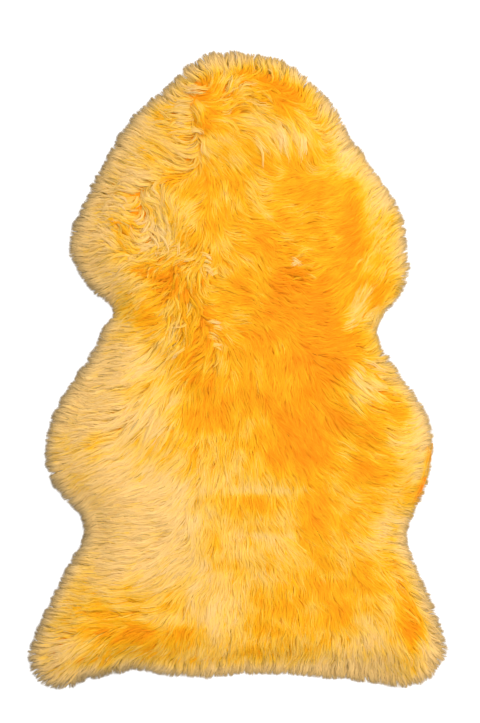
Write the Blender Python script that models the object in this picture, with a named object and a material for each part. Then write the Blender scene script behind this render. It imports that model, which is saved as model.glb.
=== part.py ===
"""Sheepskin rug: one pelt lying flat, with its hide underneath and its long wool on top.

Sizes are in metres. The neck points along +Y, the tail along -Y, and the floor is z = 0.
"""
import math
import random
from typing import NamedTuple

import bmesh
import bpy
import numpy as np
from mathutils import Vector, noise
from mathutils.geometry import delaunay_2d_cdt

# Hide, the skin itself, and the air between it and the fleece
HIDE_THICKNESS = 0.002
SKIN_GAP = 0.0003
HIDE_POINT_SPACING = 0.014

# Fleece: its height over the back and at its rim, and how far it rounds over
PILE_HEIGHT = 0.046
RIM_HEIGHT = 0.019
RIM_OVERHANG = 0.007
CROWN_WIDTH = 0.055
BIG_LUMP = 0.0060
BIG_LUMP_SIZE = 0.065
BIG_LUMP_LAYER = 0.3
SMALL_LUMP = 0.0035
SMALL_LUMP_SIZE = 0.030
SMALL_LUMP_LAYER = 0.8

# Spacing of the points that shape the fleece
TOP_SPACING = 0.016
UNDER_SPACING = 0.060
SHOULDER_RING = 0.011
SHOULDER_RING_SPACING = 0.012
RING_CLEARANCE = 0.007
POINT_SWAY = 0.25
SWAY_FREQUENCY = 0.7

# Locks that hang over the rim and lie on the floor
WOOL_REACH = 0.035
LOCK_PITCH = 0.0100
LOCK_GAP = 0.0016
LOCK_WIDTH_SPREAD = 0.0006
LOCK_TURN = math.radians(6.0)
LOCK_REACH_SPREAD = 0.09
TUFT_REACH_SPREAD = 0.12
TUFT_SIZE = 0.035
LOCK_BEND_AT = 0.55
LOCK_BEND_FILL = 0.86
LOCK_BEND_HEIGHT = 0.012
LOCK_BEND_HEIGHT_SPREAD = 0.003
LOCK_TIP_FILL = 0.28
LOCK_TIP_HEIGHT = 0.0035
LOCK_TIP_PITCH = 0.0050
NORMAL_WINDOW = 0.016
LOCK_SEED = 11
SHORTER = 0.94

# Finishes
WOOL_COLOUR = (0.93, 0.50, 0.07, 1.0)
WOOL_ROUGHNESS = 0.9
HIDE_COLOUR = (0.78, 0.60, 0.36, 1.0)
HIDE_ROUGHNESS = 0.85
SMOOTH_ANGLE = math.radians(50.0)


class Section(NamedTuple):
    """One line across the hide, and where the skin is cut on its left and right."""

    name: str
    y: float
    left: float
    right: float


class EdgePoint(NamedTuple):
    """One point of the hide's short edge at the neck or the tail."""

    name: str
    x: float
    y: float


class Parting(NamedTuple):
    """A soft trough in the fleece, from one point to another."""

    name: str
    start: tuple
    end: tuple
    depth: float
    width: float


HIDE_SECTIONS = (
    Section("neck edge", 0.425, -0.053, 0.060),
    Section("neck", 0.400, -0.076, 0.092),
    Section("cheek", 0.365, -0.119, 0.120),
    Section("upper shoulder", 0.330, -0.146, 0.137),
    Section("shoulder", 0.290, -0.170, 0.168),
    Section("upper foreleg", 0.250, -0.190, 0.197),
    Section("foreleg", 0.215, -0.203, 0.214),
    Section("foreleg tip", 0.185, -0.215, 0.217),
    Section("under the foreleg", 0.150, -0.200, 0.221),
    Section("elbow", 0.120, -0.171, 0.208),
    Section("waist", 0.092, -0.157, 0.185),
    Section("below the waist", 0.065, -0.161, 0.174),
    Section("top of the belly", 0.035, -0.175, 0.178),
    Section("upper belly", 0.000, -0.190, 0.197),
    Section("belly", -0.045, -0.222, 0.227),
    Section("widest belly", -0.085, -0.243, 0.252),
    Section("flank", -0.125, -0.252, 0.257),
    Section("lower flank", -0.160, -0.239, 0.251),
    Section("hip", -0.195, -0.206, 0.235),
    Section("hind waist", -0.235, -0.194, 0.220),
    Section("below the hind waist", -0.270, -0.197, 0.222),
    Section("hind leg", -0.315, -0.224, 0.239),
    Section("lower hind leg", -0.360, -0.247, 0.257),
    Section("rump", -0.405, -0.266, 0.273),
)

NECK_EDGE = (
    EdgePoint("right of the neck", 0.038, 0.434),
    EdgePoint("middle of the neck", 0.005, 0.438),
    EdgePoint("left of the neck", -0.030, 0.438),
)

TAIL_EDGE = (
    EdgePoint("left corner", -0.274, -0.430),
    EdgePoint("left corner lobe", -0.260, -0.442),
    EdgePoint("beside the left lobe", -0.236, -0.429),
    EdgePoint("left hem", -0.205, -0.424),
    EdgePoint("left notch", -0.162, -0.413),
    EdgePoint("left of the tail", -0.110, -0.420),
    EdgePoint("tail", -0.055, -0.426),
    EdgePoint("right of the tail", 0.030, -0.419),
    EdgePoint("right hem", 0.120, -0.425),
    EdgePoint("beside the right lobe", 0.185, -0.430),
    EdgePoint("right corner lobe", 0.240, -0.438),
    EdgePoint("right lobe's end", 0.262, -0.434),
    EdgePoint("right corner", 0.275, -0.420),
)

PARTINGS = (
    Parting("foreleg parting", (-0.145, 0.055), (-0.070, -0.040), 0.007, 0.016),
    Parting("shoulder parting", (-0.125, 0.240), (-0.110, 0.120), 0.005, 0.018),
    Parting("neck swirl", (-0.120, 0.330), (-0.060, 0.250), 0.005, 0.020),
    Parting("right shoulder dip", (0.150, 0.220), (0.190, 0.100), 0.004, 0.022),
    Parting("upper folding crease", (0.000, -0.181), (0.120, -0.183), 0.005, 0.012),
    Parting("lower folding crease", (0.010, -0.246), (0.085, -0.248), 0.003, 0.012),
    Parting("right flank parting", (0.140, -0.010), (0.150, -0.120), 0.004, 0.022),
    Parting("left hind leg parting", (-0.120, -0.250), (-0.170, -0.370), 0.004, 0.022),
)


class Loop:
    """A closed curve on the floor plan that is read by the distance along it."""

    def __init__(self, points):
        self.points = np.asarray(points, dtype=float)
        ends = np.vstack([self.points, self.points[:1]])
        steps = np.linalg.norm(np.diff(ends, axis=0), axis=1)
        self.stations = np.concatenate([[0.0], np.cumsum(steps)])
        self.length = self.stations[-1]
        self.ends = ends

    def at(self, along):
        """Points of the curve at one or more distances along it."""
        along = np.mod(along, self.length)
        x = np.interp(along, self.stations, self.ends[:, 0])
        y = np.interp(along, self.stations, self.ends[:, 1])
        return np.stack([x, y], axis=-1)

    def outward(self, along):
        """Unit vectors that point out of the curve, smoothed over a short stretch."""
        chord = self.at(along + NORMAL_WINDOW) - self.at(along - NORMAL_WINDOW)
        normal = np.stack([chord[..., 1], -chord[..., 0]], axis=-1)
        return normal / np.linalg.norm(normal, axis=-1, keepdims=True)

    def even_stations(self, spacing):
        """Distances along the curve that are evenly spaced, as near the spacing as fits."""
        count = round(self.length / spacing)
        return np.arange(count) * self.length / count

    def offset(self, distance, spacing):
        """The curve that runs the distance outside this one, or inside it if negative."""
        stations = self.even_stations(spacing)
        return Loop(self.at(stations) + distance * self.outward(stations))

    def distance_to(self, places):
        """How far each place is from the curve."""
        starts = self.ends[:-1]
        runs = self.ends[1:] - starts
        to_place = places[:, None, :] - starts[None, :, :]
        share = np.einsum("pij,ij->pi", to_place, runs) / np.einsum("ij,ij->i", runs, runs)
        nearest = to_place - np.clip(share, 0.0, 1.0)[..., None] * runs[None, :, :]
        return np.sqrt(np.min(np.einsum("pij,pij->pi", nearest, nearest), axis=1))

    def holds(self, places):
        """Whether each place is inside the curve."""
        x, y = places[:, 0, None], places[:, 1, None]
        x0, y0 = self.ends[:-1, 0], self.ends[:-1, 1]
        x1, y1 = self.ends[1:, 0], self.ends[1:, 1]
        straddles = (y0 > y) != (y1 > y)
        rise = np.where(y1 == y0, 1.0, y1 - y0)
        crossings = straddles & (x < x0 + (y - y0) / rise * (x1 - x0))
        return np.count_nonzero(crossings, axis=1) % 2 == 1


def smooth_loop(knots, steps=12):
    """A closed Catmull-Rom curve through the knots."""
    knots = np.array(knots)
    before = np.roll(knots, 1, axis=0)
    after = np.roll(knots, -1, axis=0)
    beyond = np.roll(knots, -2, axis=0)
    rows = []
    for t in np.arange(steps) / steps:
        linear = (after - before) * t
        square = (2.0 * before - 5.0 * knots + 4.0 * after - beyond) * t ** 2
        cube = (3.0 * knots - before - 3.0 * after + beyond) * t ** 3
        rows.append(0.5 * (2.0 * knots + linear + square + cube))
    return Loop(np.stack(rows, axis=1).reshape(-1, 2))


def hide_outline():
    """The cut edge of the skin, counter-clockwise from the tail's right corner."""
    right_side = [(section.right, section.y) for section in reversed(HIDE_SECTIONS)]
    left_side = [(section.left, section.y) for section in HIDE_SECTIONS]
    neck = [(point.x, point.y) for point in NECK_EDGE]
    tail = [(point.x, point.y) for point in TAIL_EDGE]
    return smooth_loop(right_side + neck + left_side + tail)


def hex_points(loop, spacing, clearance):
    """Staggered points inside the loop, each pushed a little off its row."""
    low, high = loop.points.min(axis=0), loop.points.max(axis=0)
    row_step = spacing * math.sqrt(0.75)
    points = []
    for row in range(int((high[1] - low[1]) / row_step) + 2):
        shift = 0.5 * spacing * (row % 2)
        for column in range(int((high[0] - low[0]) / spacing) + 2):
            points.append((low[0] + shift + column * spacing, low[1] + row * row_step))
    points = np.array(points)
    for place in points:
        sway = noise.noise_vector(Vector((place[0], place[1], 0.0)) * SWAY_FREQUENCY / spacing)
        place += POINT_SWAY * spacing * np.array(sway[:2])
    inside = points[loop.holds(points)]
    return inside[loop.distance_to(inside) > clearance]


def parting_depth(places):
    """How far the partings and folding creases press the fleece down at each place."""
    depth = np.zeros(len(places))
    for parting in PARTINGS:
        start, run = np.array(parting.start), np.array(parting.end) - np.array(parting.start)
        share = np.clip((places - start) @ run / (run @ run), 0.0, 1.0)
        off = np.linalg.norm(places - start - share[:, None] * run, axis=1)
        depth = np.maximum(depth, parting.depth * np.exp(-(off / parting.width) ** 2))
    return depth


def lumps(places):
    """The uneven rise and fall of the fleece at each place."""
    rise = []
    for x, y in places:
        big = noise.noise(Vector((x, y, BIG_LUMP_LAYER)) / BIG_LUMP_SIZE)
        small = noise.noise(Vector((x, y, SMALL_LUMP_LAYER)) / SMALL_LUMP_SIZE)
        rise.append(BIG_LUMP * big + SMALL_LUMP * small)
    return np.array(rise)


def fleece_heights(places, rim):
    """Height of the fleece: a quarter ellipse up from the rim, then the lumpy back."""
    inward = np.clip(rim.distance_to(places) / CROWN_WIDTH, 0.0, 1.0)
    crown = np.sqrt(1.0 - (1.0 - inward) ** 2)
    smooth = RIM_HEIGHT + (PILE_HEIGHT - RIM_HEIGHT) * crown
    return smooth + lumps(places) - parting_depth(places) * inward


class Lock(NamedTuple):
    """A lock of wool at the rim: its root's two ends along the rim, and its way out."""

    start: float
    end: float
    way: np.ndarray
    reach: float
    bend_height: float

    def middle(self, rim, share):
        """Middle of the lock on the floor plan, at a share of its reach from the root."""
        return rim.at(0.5 * (self.start + self.end)) + share * self.reach * self.way


def plan_locks(rim):
    """Locks around the rim, shortened where a notch would crowd their tips."""
    draw = random.Random(LOCK_SEED)
    count = round(rim.length / LOCK_PITCH)
    pitch = rim.length / count
    full_reach = WOOL_REACH - RIM_OVERHANG
    locks = []
    for index in range(count):
        half_gap = 0.5 * LOCK_GAP + draw.uniform(0.0, LOCK_WIDTH_SPREAD)
        start, end = index * pitch + half_gap, (index + 1) * pitch - half_gap
        root = rim.at(0.5 * (start + end))
        normal = rim.outward(0.5 * (start + end))
        turn = draw.uniform(-LOCK_TURN, LOCK_TURN)
        cos, sin = math.cos(turn), math.sin(turn)
        way = np.array([cos * normal[0] - sin * normal[1], sin * normal[0] + cos * normal[1]])
        tuft = TUFT_REACH_SPREAD * noise.noise(Vector((*root, 0.0)) / TUFT_SIZE)
        reach = full_reach * (1.0 + tuft + draw.uniform(-LOCK_REACH_SPREAD, LOCK_REACH_SPREAD))
        lift = draw.uniform(-LOCK_BEND_HEIGHT_SPREAD, LOCK_BEND_HEIGHT_SPREAD)
        locks.append(Lock(start, end, way, reach, LOCK_BEND_HEIGHT + lift))
    return shorten_crowded(locks, rim)


def room_across(locks, rim, share):
    """Room that each lock has to its nearer neighbour, at a share of its reach."""
    middles = np.array([lock.middle(rim, share) for lock in locks])
    to_next = np.linalg.norm(middles - np.roll(middles, -1, axis=0), axis=1)
    return np.minimum(to_next, np.roll(to_next, 1))


def shorten_crowded(locks, rim):
    """Shorten neighbours until every tip stands clear of the next one."""
    crowded = room_across(locks, rim, 1.0) < LOCK_TIP_PITCH
    while crowded.any():
        locks = [lock._replace(reach=SHORTER * lock.reach) if tight else lock
                 for lock, tight in zip(locks, crowded)]
        crowded = room_across(locks, rim, 1.0) < LOCK_TIP_PITCH
    return locks


def fill_faces(mesh, ring, inner, height_of):
    """Triangles over the ring and the points inside it, as faces of the mesh."""
    points = [Vector(vert.co.xy) for vert in ring] + [Vector(place) for place in inner]
    edges = [(i, (i + 1) % len(ring)) for i in range(len(ring))]
    filled = delaunay_2d_cdt(points, edges, [], 1, 1e-6)
    heights = height_of(np.array([point[:] for point in filled[0]]))
    corners = {}
    for index, (point, origins) in enumerate(zip(filled[0], filled[3])):
        on_ring = [origin for origin in origins if origin < len(ring)]
        if on_ring:
            corners[index] = ring[on_ring[0]]
        else:
            corners[index] = mesh.verts.new((point.x, point.y, heights[index]))
    for triangle in filled[2]:
        mesh.faces.new([corners[index] for index in triangle])


def draw_out(mesh, root_face, sections):
    """Extrude a lock from its root through the cross sections, each four corners."""
    face = root_face
    for corners in sections:
        face = bmesh.ops.extrude_discrete_faces(mesh, faces=[face])["faces"][0]
        for loop, corner in zip(face.loops, corners):
            loop.vert.co = corner


def lock_section(lock, rim, share, width, height):
    """Four corners of a lock's cross section that stands on the floor."""
    middle = lock.middle(rim, share)
    along = np.array([-lock.way[1], lock.way[0]])
    near, far = middle - 0.5 * width * along, middle + 0.5 * width * along
    return [(*near, 0.0), (*far, 0.0), (*far, height), (*near, height)]


def add_material(thing, name, colour, roughness):
    """Give an object its own plain finish."""
    finish = bpy.data.materials.new(name)
    finish.use_nodes = True
    shader = finish.node_tree.nodes["Principled BSDF"]
    shader.inputs["Base Color"].default_value = colour
    shader.inputs["Roughness"].default_value = roughness
    shader.inputs["Metallic"].default_value = 0.0
    thing.data.materials.append(finish)


def make_hide(collection, outline):
    """The skin: a flat outline, filled and as thick as tanned hide."""
    curve = bpy.data.curves.new("hide", "CURVE")
    curve.dimensions = "2D"
    curve.fill_mode = "BOTH"
    curve.extrude = 0.5 * HIDE_THICKNESS
    points = outline.at(outline.even_stations(HIDE_POINT_SPACING))
    spline = curve.splines.new("POLY")
    spline.points.add(len(points) - 1)
    for point, (x, y) in zip(spline.points, points):
        point.co = (x, y, 0.0, 1.0)
    spline.use_cyclic_u = True
    hide = bpy.data.objects.new("hide", curve)
    hide.location.z = 0.5 * HIDE_THICKNESS
    add_material(hide, "tanned hide", HIDE_COLOUR, HIDE_ROUGHNESS)
    collection.objects.link(hide)


def make_fleece(collection, outline):
    """The wool: a lumpy slab over the hide, with a lock drawn out of each root at its rim."""
    rim = outline.offset(RIM_OVERHANG, TOP_SPACING / 4.0)
    locks = plan_locks(rim)
    ring = np.array([rim.at(station) for lock in locks for station in (lock.start, lock.end)])
    ring_tops = RIM_HEIGHT + lumps(ring)
    floor_of_wool = HIDE_THICKNESS + SKIN_GAP

    mesh = bmesh.new()
    low = [mesh.verts.new((x, y, floor_of_wool)) for x, y in ring]
    high = [mesh.verts.new((x, y, z)) for (x, y), z in zip(ring, ring_tops)]
    walls = []
    for i in range(len(ring)):
        j = (i + 1) % len(ring)
        walls.append(mesh.faces.new((low[i], low[j], high[j], high[i])))

    shoulder = rim.offset(-SHOULDER_RING, SHOULDER_RING_SPACING)
    top = np.vstack([shoulder.points, hex_points(shoulder, TOP_SPACING, RING_CLEARANCE)])
    fill_faces(mesh, high, top, lambda places: fleece_heights(places, rim))
    under = hex_points(rim, UNDER_SPACING, 0.5 * UNDER_SPACING)
    fill_faces(mesh, low, under, lambda places: np.full(len(places), floor_of_wool))

    bend_widths = LOCK_BEND_FILL * room_across(locks, rim, LOCK_BEND_AT)
    tip_widths = LOCK_TIP_FILL * room_across(locks, rim, 1.0)
    for lock, root_face, bend_width, tip_width in zip(locks, walls[::2], bend_widths, tip_widths):
        bend = lock_section(lock, rim, LOCK_BEND_AT, bend_width, lock.bend_height)
        tip = lock_section(lock, rim, 1.0, tip_width, LOCK_TIP_HEIGHT)
        draw_out(mesh, root_face, (bend, tip))

    bmesh.ops.recalc_face_normals(mesh, faces=mesh.faces)
    data = bpy.data.meshes.new("fleece")
    mesh.to_mesh(data)
    mesh.free()
    data.shade_smooth()
    data.set_sharp_from_angle(angle=SMOOTH_ANGLE)
    fleece = bpy.data.objects.new("fleece", data)
    add_material(fleece, "dyed wool", WOOL_COLOUR, WOOL_ROUGHNESS)
    collection.objects.link(fleece)


def main():
    """Build the rug in an empty scene."""
    for thing in list(bpy.data.objects):
        bpy.data.objects.remove(thing, do_unlink=True)
    rug = bpy.data.collections.new("sheepskin rug")
    bpy.context.scene.collection.children.link(rug)
    outline = hide_outline()
    make_hide(rug, outline)
    make_fleece(rug, outline)


main()
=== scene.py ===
"""Looks of a sheepskin rug: long golden wool combed over a flat pelt, seen from straight above."""
import logging
import math
from collections.abc import Callable
from dataclasses import dataclass, field
from enum import Enum
from typing import TypeVar

import bmesh
import bpy
import numpy as np
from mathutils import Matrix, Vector
from mathutils.bvhtree import BVHTree
from mathutils.geometry import delaunay_2d_cdt


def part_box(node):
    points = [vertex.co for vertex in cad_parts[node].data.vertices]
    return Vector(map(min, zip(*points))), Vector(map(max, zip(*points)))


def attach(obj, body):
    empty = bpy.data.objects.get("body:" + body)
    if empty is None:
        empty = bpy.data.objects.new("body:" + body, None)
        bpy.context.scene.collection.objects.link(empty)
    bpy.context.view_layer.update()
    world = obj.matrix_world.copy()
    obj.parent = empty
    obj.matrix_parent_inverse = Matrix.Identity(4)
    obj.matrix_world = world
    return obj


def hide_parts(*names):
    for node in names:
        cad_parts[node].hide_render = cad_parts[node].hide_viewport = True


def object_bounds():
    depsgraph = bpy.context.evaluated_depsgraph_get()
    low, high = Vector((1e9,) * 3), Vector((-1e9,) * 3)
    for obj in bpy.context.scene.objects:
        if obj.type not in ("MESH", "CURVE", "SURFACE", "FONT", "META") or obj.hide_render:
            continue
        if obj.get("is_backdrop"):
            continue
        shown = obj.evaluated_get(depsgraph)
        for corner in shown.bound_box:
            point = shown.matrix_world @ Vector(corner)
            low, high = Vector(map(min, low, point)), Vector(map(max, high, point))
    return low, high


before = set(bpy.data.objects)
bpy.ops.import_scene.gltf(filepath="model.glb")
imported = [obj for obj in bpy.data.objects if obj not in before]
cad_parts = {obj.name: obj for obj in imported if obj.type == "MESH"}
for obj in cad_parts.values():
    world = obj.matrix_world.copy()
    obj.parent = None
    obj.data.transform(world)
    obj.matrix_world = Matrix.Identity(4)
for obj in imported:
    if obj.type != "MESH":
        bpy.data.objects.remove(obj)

LOG = logging.getLogger("sheepskin")
BODY = "root"

# Lengths in metres, the height of a triangle with sides of 1, and filling up to a border alone
MILLIMETRE = 0.001
SMALLEST_LENGTH = 1e-9
SAME_PLACE = 1e-7
TRIANGLE_HEIGHT = math.sqrt(0.75)
FILL_INSIDE = 1

# Kinds of value
Colour = tuple[float, float, float]
Array = np.ndarray
Heights = Callable[[Array], Array]
Record = TypeVar("Record")

# Photograph: its frame in pixels, the rug's middle there, and how many metres a pixel covers
PHOTO_WIDTH_PX = 480
PHOTO_HEIGHT_PX = 723
RUG_MIDDLE_PX = (236.5, 369.0)
METRES_PER_PX = 0.0014914


class Coat(Enum):
    """How the wool behaves at a place on the pelt."""

    SOFT = "soft"
    FINE = "fine"
    COMBED = "combed"
    CURLY = "curly"


@dataclass(frozen=True)
class Habit:
    """The shape that one coat gives to its locks.

    Lengths are in metres and angles in radians. fleck is how much locks differ in paleness, and
    bulge is how much a lock stands out as a rounded form. A blended habit holds an array in each
    field, with one value for each place.
    """

    length: float
    root_spread: float
    tip_spread: float
    swirl: float
    curl: float
    stray: float
    wave: float
    lift: float
    tip_rise: float
    fleck: float
    bulge: float
    layering: float
    root_depth: float


HABITS = {
    Coat.SOFT: Habit(
        length=0.034, root_spread=0.0052, tip_spread=0.0050, swirl=0.25, curl=0.30, stray=0.16,
        wave=0.0005, lift=0.0004, tip_rise=0.0002, fleck=0.035, bulge=0.10, layering=0.0008,
        root_depth=0.0036),
    Coat.FINE: Habit(
        length=0.060, root_spread=0.0046, tip_spread=0.0034, swirl=0.12, curl=0.18, stray=0.07,
        wave=0.0010, lift=0.0008, tip_rise=-0.0008, fleck=0.06, bulge=0.36, layering=0.0018,
        root_depth=0.0062),
    Coat.COMBED: Habit(
        length=0.072, root_spread=0.0040, tip_spread=0.0019, swirl=0.12, curl=0.20, stray=0.06,
        wave=0.0012, lift=0.0014, tip_rise=-0.0018, fleck=0.08, bulge=0.62, layering=0.0036,
        root_depth=0.0100),
    Coat.CURLY: Habit(
        length=0.048, root_spread=0.0038, tip_spread=0.0016, swirl=0.45, curl=1.30, stray=0.22,
        wave=0.0016, lift=0.0028, tip_rise=0.0004, fleck=0.15, bulge=0.75, layering=0.0046,
        root_depth=0.0130),
}


@dataclass(frozen=True)
class Stroke:
    """One stroke of the comb: where it was drawn, which way it points and the coat it leaves.

    x and y are in millimetres, and heading is in degrees from +X towards +Y.
    """

    name: str
    x: float
    y: float
    heading: float
    coat: Coat


STROKES = (
    Stroke("neck tip", -22, 460, 112, Coat.COMBED),
    Stroke("right of the neck tip", 50, 445, 108, Coat.COMBED),
    Stroke("neck right edge", 105, 420, 85, Coat.COMBED),
    Stroke("cheek right edge", 140, 385, 75, Coat.COMBED),
    Stroke("right neck rim", 152, 350, 62, Coat.COMBED),
    Stroke("neck left edge", -75, 430, 135, Coat.COMBED),
    Stroke("cheek left edge", -125, 395, 148, Coat.COMBED),
    Stroke("left cheek swirl", -140, 340, 154, Coat.COMBED),
    Stroke("left neck waves", -80, 370, 178, Coat.CURLY),
    Stroke("neck dip", -46, 376, 320, Coat.SOFT),
    Stroke("neck middle", -20, 400, 40, Coat.CURLY),
    Stroke("neck whorl", 35, 405, -30, Coat.CURLY),
    Stroke("top of the fan", 65, 375, -38, Coat.FINE),
    Stroke("fan", 82, 348, -66, Coat.FINE),
    Stroke("foot of the fan", 102, 320, -84, Coat.FINE),
    Stroke("inside of the fan", 15, 345, -32, Coat.FINE),
    Stroke("under the fan", 0, 315, -45, Coat.FINE),
    Stroke("upper left shoulder", -112, 312, 148, Coat.COMBED),
    Stroke("left shoulder edge", -185, 310, 152, Coat.COMBED),
    Stroke("left shoulder", -150, 270, 156, Coat.COMBED),
    Stroke("left shoulder curls", -172, 238, 188, Coat.CURLY),
    Stroke("left shoulder rim", -225, 250, 166, Coat.COMBED),
    Stroke("top of the big curl", -130, 250, -45, Coat.CURLY),
    Stroke("side of the big curl", -105, 205, -85, Coat.CURLY),
    Stroke("foot of the big curl", -120, 160, 215, Coat.CURLY),
    Stroke("inner foreleg curls", -165, 205, 135, Coat.CURLY),
    Stroke("left foreleg edge", -230, 200, 176, Coat.COMBED),
    Stroke("left foreleg low", -215, 145, 198, Coat.COMBED),
    Stroke("left foreleg foot", -190, 112, 214, Coat.COMBED),
    Stroke("above the left notch", -145, 120, 208, Coat.COMBED),
    Stroke("left of the withers", -60, 240, 228, Coat.SOFT),
    Stroke("upper back", -5, 250, 292, Coat.SOFT),
    Stroke("chest dip", -32, 188, 285, Coat.SOFT),
    Stroke("right of the withers", 70, 255, 22, Coat.SOFT),
    Stroke("right shoulder", 130, 265, 30, Coat.SOFT),
    Stroke("right shoulder edge", 175, 320, 48, Coat.COMBED),
    Stroke("chest left", -65, 170, 228, Coat.CURLY),
    Stroke("chest middle", 0, 195, 5, Coat.SOFT),
    Stroke("chest right", 110, 180, 4, Coat.SOFT),
    Stroke("right foreleg", 205, 225, 58, Coat.COMBED),
    Stroke("right foreleg edge", 235, 165, 52, Coat.COMBED),
    Stroke("right foreleg low", 195, 125, 56, Coat.FINE),
    Stroke("right foreleg foot", 234, 112, 52, Coat.FINE),
    Stroke("right foreleg tufts", 165, 105, 48, Coat.FINE),
    Stroke("back dip", 40, 150, -48, Coat.SOFT),
    Stroke("middle tuft", 80, 145, -5, Coat.CURLY),
    Stroke("back right", 110, 90, -20, Coat.SOFT),
    Stroke("back left", -20, 95, -8, Coat.SOFT),
    Stroke("left notch", -140, 82, 208, Coat.COMBED),
    Stroke("left waist", -165, 30, 184, Coat.COMBED),
    Stroke("left parting top", -80, 80, 255, Coat.CURLY),
    Stroke("left parting", -90, 15, 226, Coat.COMBED),
    Stroke("right notch", 205, 60, 42, Coat.FINE),
    Stroke("right waist tufts", 170, 55, 20, Coat.FINE),
    Stroke("left belly", -220, -55, 181, Coat.COMBED),
    Stroke("left belly edge", -275, -105, 192, Coat.COMBED),
    Stroke("left inner belly", -120, -90, 232, Coat.COMBED),
    Stroke("left flank low", -225, -165, 204, Coat.COMBED),
    Stroke("back low left", -30, -70, 269, Coat.SOFT),
    Stroke("back low", 60, -10, 275, Coat.SOFT),
    Stroke("back low right", 90, -90, 293, Coat.SOFT),
    Stroke("right flank", 175, -15, 316, Coat.COMBED),
    Stroke("right belly top", 230, -30, 340, Coat.FINE),
    Stroke("right belly", 200, -100, 328, Coat.COMBED),
    Stroke("right belly edge", 285, -95, 22, Coat.FINE),
    Stroke("right flank strip", 270, -150, 24, Coat.FINE),
    Stroke("right flank low", 205, -175, 332, Coat.SOFT),
    Stroke("left hind waist", -150, -240, 180, Coat.COMBED),
    Stroke("left hind fold", -95, -300, 224, Coat.COMBED),
    Stroke("loin left", -25, -250, 270, Coat.SOFT),
    Stroke("loin right", 65, -240, 291, Coat.SOFT),
    Stroke("right hip", 140, -240, 308, Coat.SOFT),
    Stroke("right hind waist", 220, -240, 348, Coat.FINE),
    Stroke("left rump", -170, -350, 180, Coat.COMBED),
    Stroke("left rump edge", -270, -360, 184, Coat.COMBED),
    Stroke("left tail corner", -265, -440, 210, Coat.COMBED),
    Stroke("left hem", -160, -430, 218, Coat.COMBED),
    Stroke("tail left", -50, -390, 262, Coat.SOFT),
    Stroke("tail hem", 10, -445, 262, Coat.COMBED),
    Stroke("tail right", 80, -370, 275, Coat.SOFT),
    Stroke("right hem", 110, -440, 252, Coat.COMBED),
    Stroke("right rump", 180, -340, 292, Coat.SOFT),
    Stroke("right rump edge", 260, -320, 314, Coat.FINE),
    Stroke("right rump rim", 290, -375, 304, Coat.COMBED),
    Stroke("right tail corner", 272, -430, 293, Coat.COMBED),
    Stroke("right corner hem", 190, -450, 278, Coat.COMBED),
)


@dataclass(frozen=True)
class Tuft:
    """A tuft that stands out of the coat: locks side by side that bend together.

    x and y, where it is rooted, and its length and width are in millimetres, and heading and bend
    in degrees. shift is added to the paleness.
    """

    name: str
    x: float
    y: float
    heading: float
    bend: float
    length: float
    width: float
    locks: int
    shift: float


TUFTS = (
    Tuft("middle tuft", 78, 160, -35, 25, 21, 7, 3, 0.85),
    Tuft("middle tuft curl", 96, 159, 215, -40, 17, 5, 3, 0.75),
    Tuft("chest curl", -58, 164, 10, -70, 26, 8, 4, 0.30),
    Tuft("low chest curl", -56, 150, 5, -60, 28, 7, 3, 0.28),
    Tuft("back chest curl", -24, 146, 190, 60, 22, 7, 3, 0.28),
    Tuft("first waist ripple", -48, 68, 12, -40, 26, 3, 2, 0.40),
    Tuft("second waist ripple", -46, 57, 8, -35, 27, 3, 2, 0.40),
    Tuft("third waist ripple", -44, 46, 10, -40, 26, 3, 2, 0.36),
    Tuft("fourth waist ripple", -40, 35, 4, -35, 24, 3, 2, 0.32),
    Tuft("right notch ripple", 148, 58, 0, 45, 38, 8, 3, 0.30),
    Tuft("right notch tuft", 168, 66, 64, -8, 62, 16, 6, 0.22),
    Tuft("right notch sweep", 172, 58, 34, 14, 56, 10, 4, 0.22),
    Tuft("right notch edge", 201, 58, 66, -14, 40, 7, 4, 0.18),
    Tuft("right foreleg foot", 209, 92, 40, 14, 50, 8, 5, 0.00),
    Tuft("upper notch tuft", 182, 100, 58, 8, 46, 9, 4, 0.24),
    Tuft("right flank strip", 287, -116, -99, -6, 60, 5, 3, -0.12),
    Tuft("low right flank strip", 277, -164, -106, -26, 50, 5, 3, -0.12),
    Tuft("right foreleg curl", 165, 140, 75, -50, 34, 6, 3, 0.10),
    Tuft("right flank sweep", 156, 12, -28, -22, 62, 20, 6, 0.32),
    Tuft("parting wisp", -68, 72, 215, -22, 38, 6, 3, 0.36),
    Tuft("middle parting wisp", -70, 38, 204, 25, 38, 6, 3, 0.36),
    Tuft("low parting wisp", -68, 3, 190, 18, 34, 5, 2, 0.34),
    Tuft("neck curl", -70, 348, 40, -105, 28, 8, 4, 0.30),
    Tuft("small neck curl", -98, 352, 60, -95, 24, 6, 3, 0.24),
    Tuft("neck top sweep", -36, 414, 205, -55, 52, 9, 4, 0.30),
    Tuft("neck dip curl", -64, 388, -30, -70, 34, 9, 5, -0.05),
    Tuft("inner neck curl", -46, 356, 52, -130, 60, 12, 6, 0.04),
    Tuft("big curl", -136, 210, 0, -115, 64, 15, 6, 0.26),
    Tuft("foreleg curl", -184, 242, 60, -130, 34, 6, 3, 0.24),
    Tuft("first fan lock", 18, 342, -18, -65, 52, 8, 4, 0.34),
    Tuft("second fan lock", 56, 352, -40, -50, 54, 9, 4, 0.32),
    Tuft("third fan lock", 92, 352, -68, -32, 50, 8, 4, 0.30),
)


@dataclass(frozen=True)
class Stain:
    """A soft patch where the dye took paler or deeper than over the back.

    Places and radii are in millimetres, turn is in degrees, and shift is added to the paleness.
    """

    name: str
    x: float
    y: float
    radius_x: float
    radius_y: float
    turn: float
    shift: float


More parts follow.
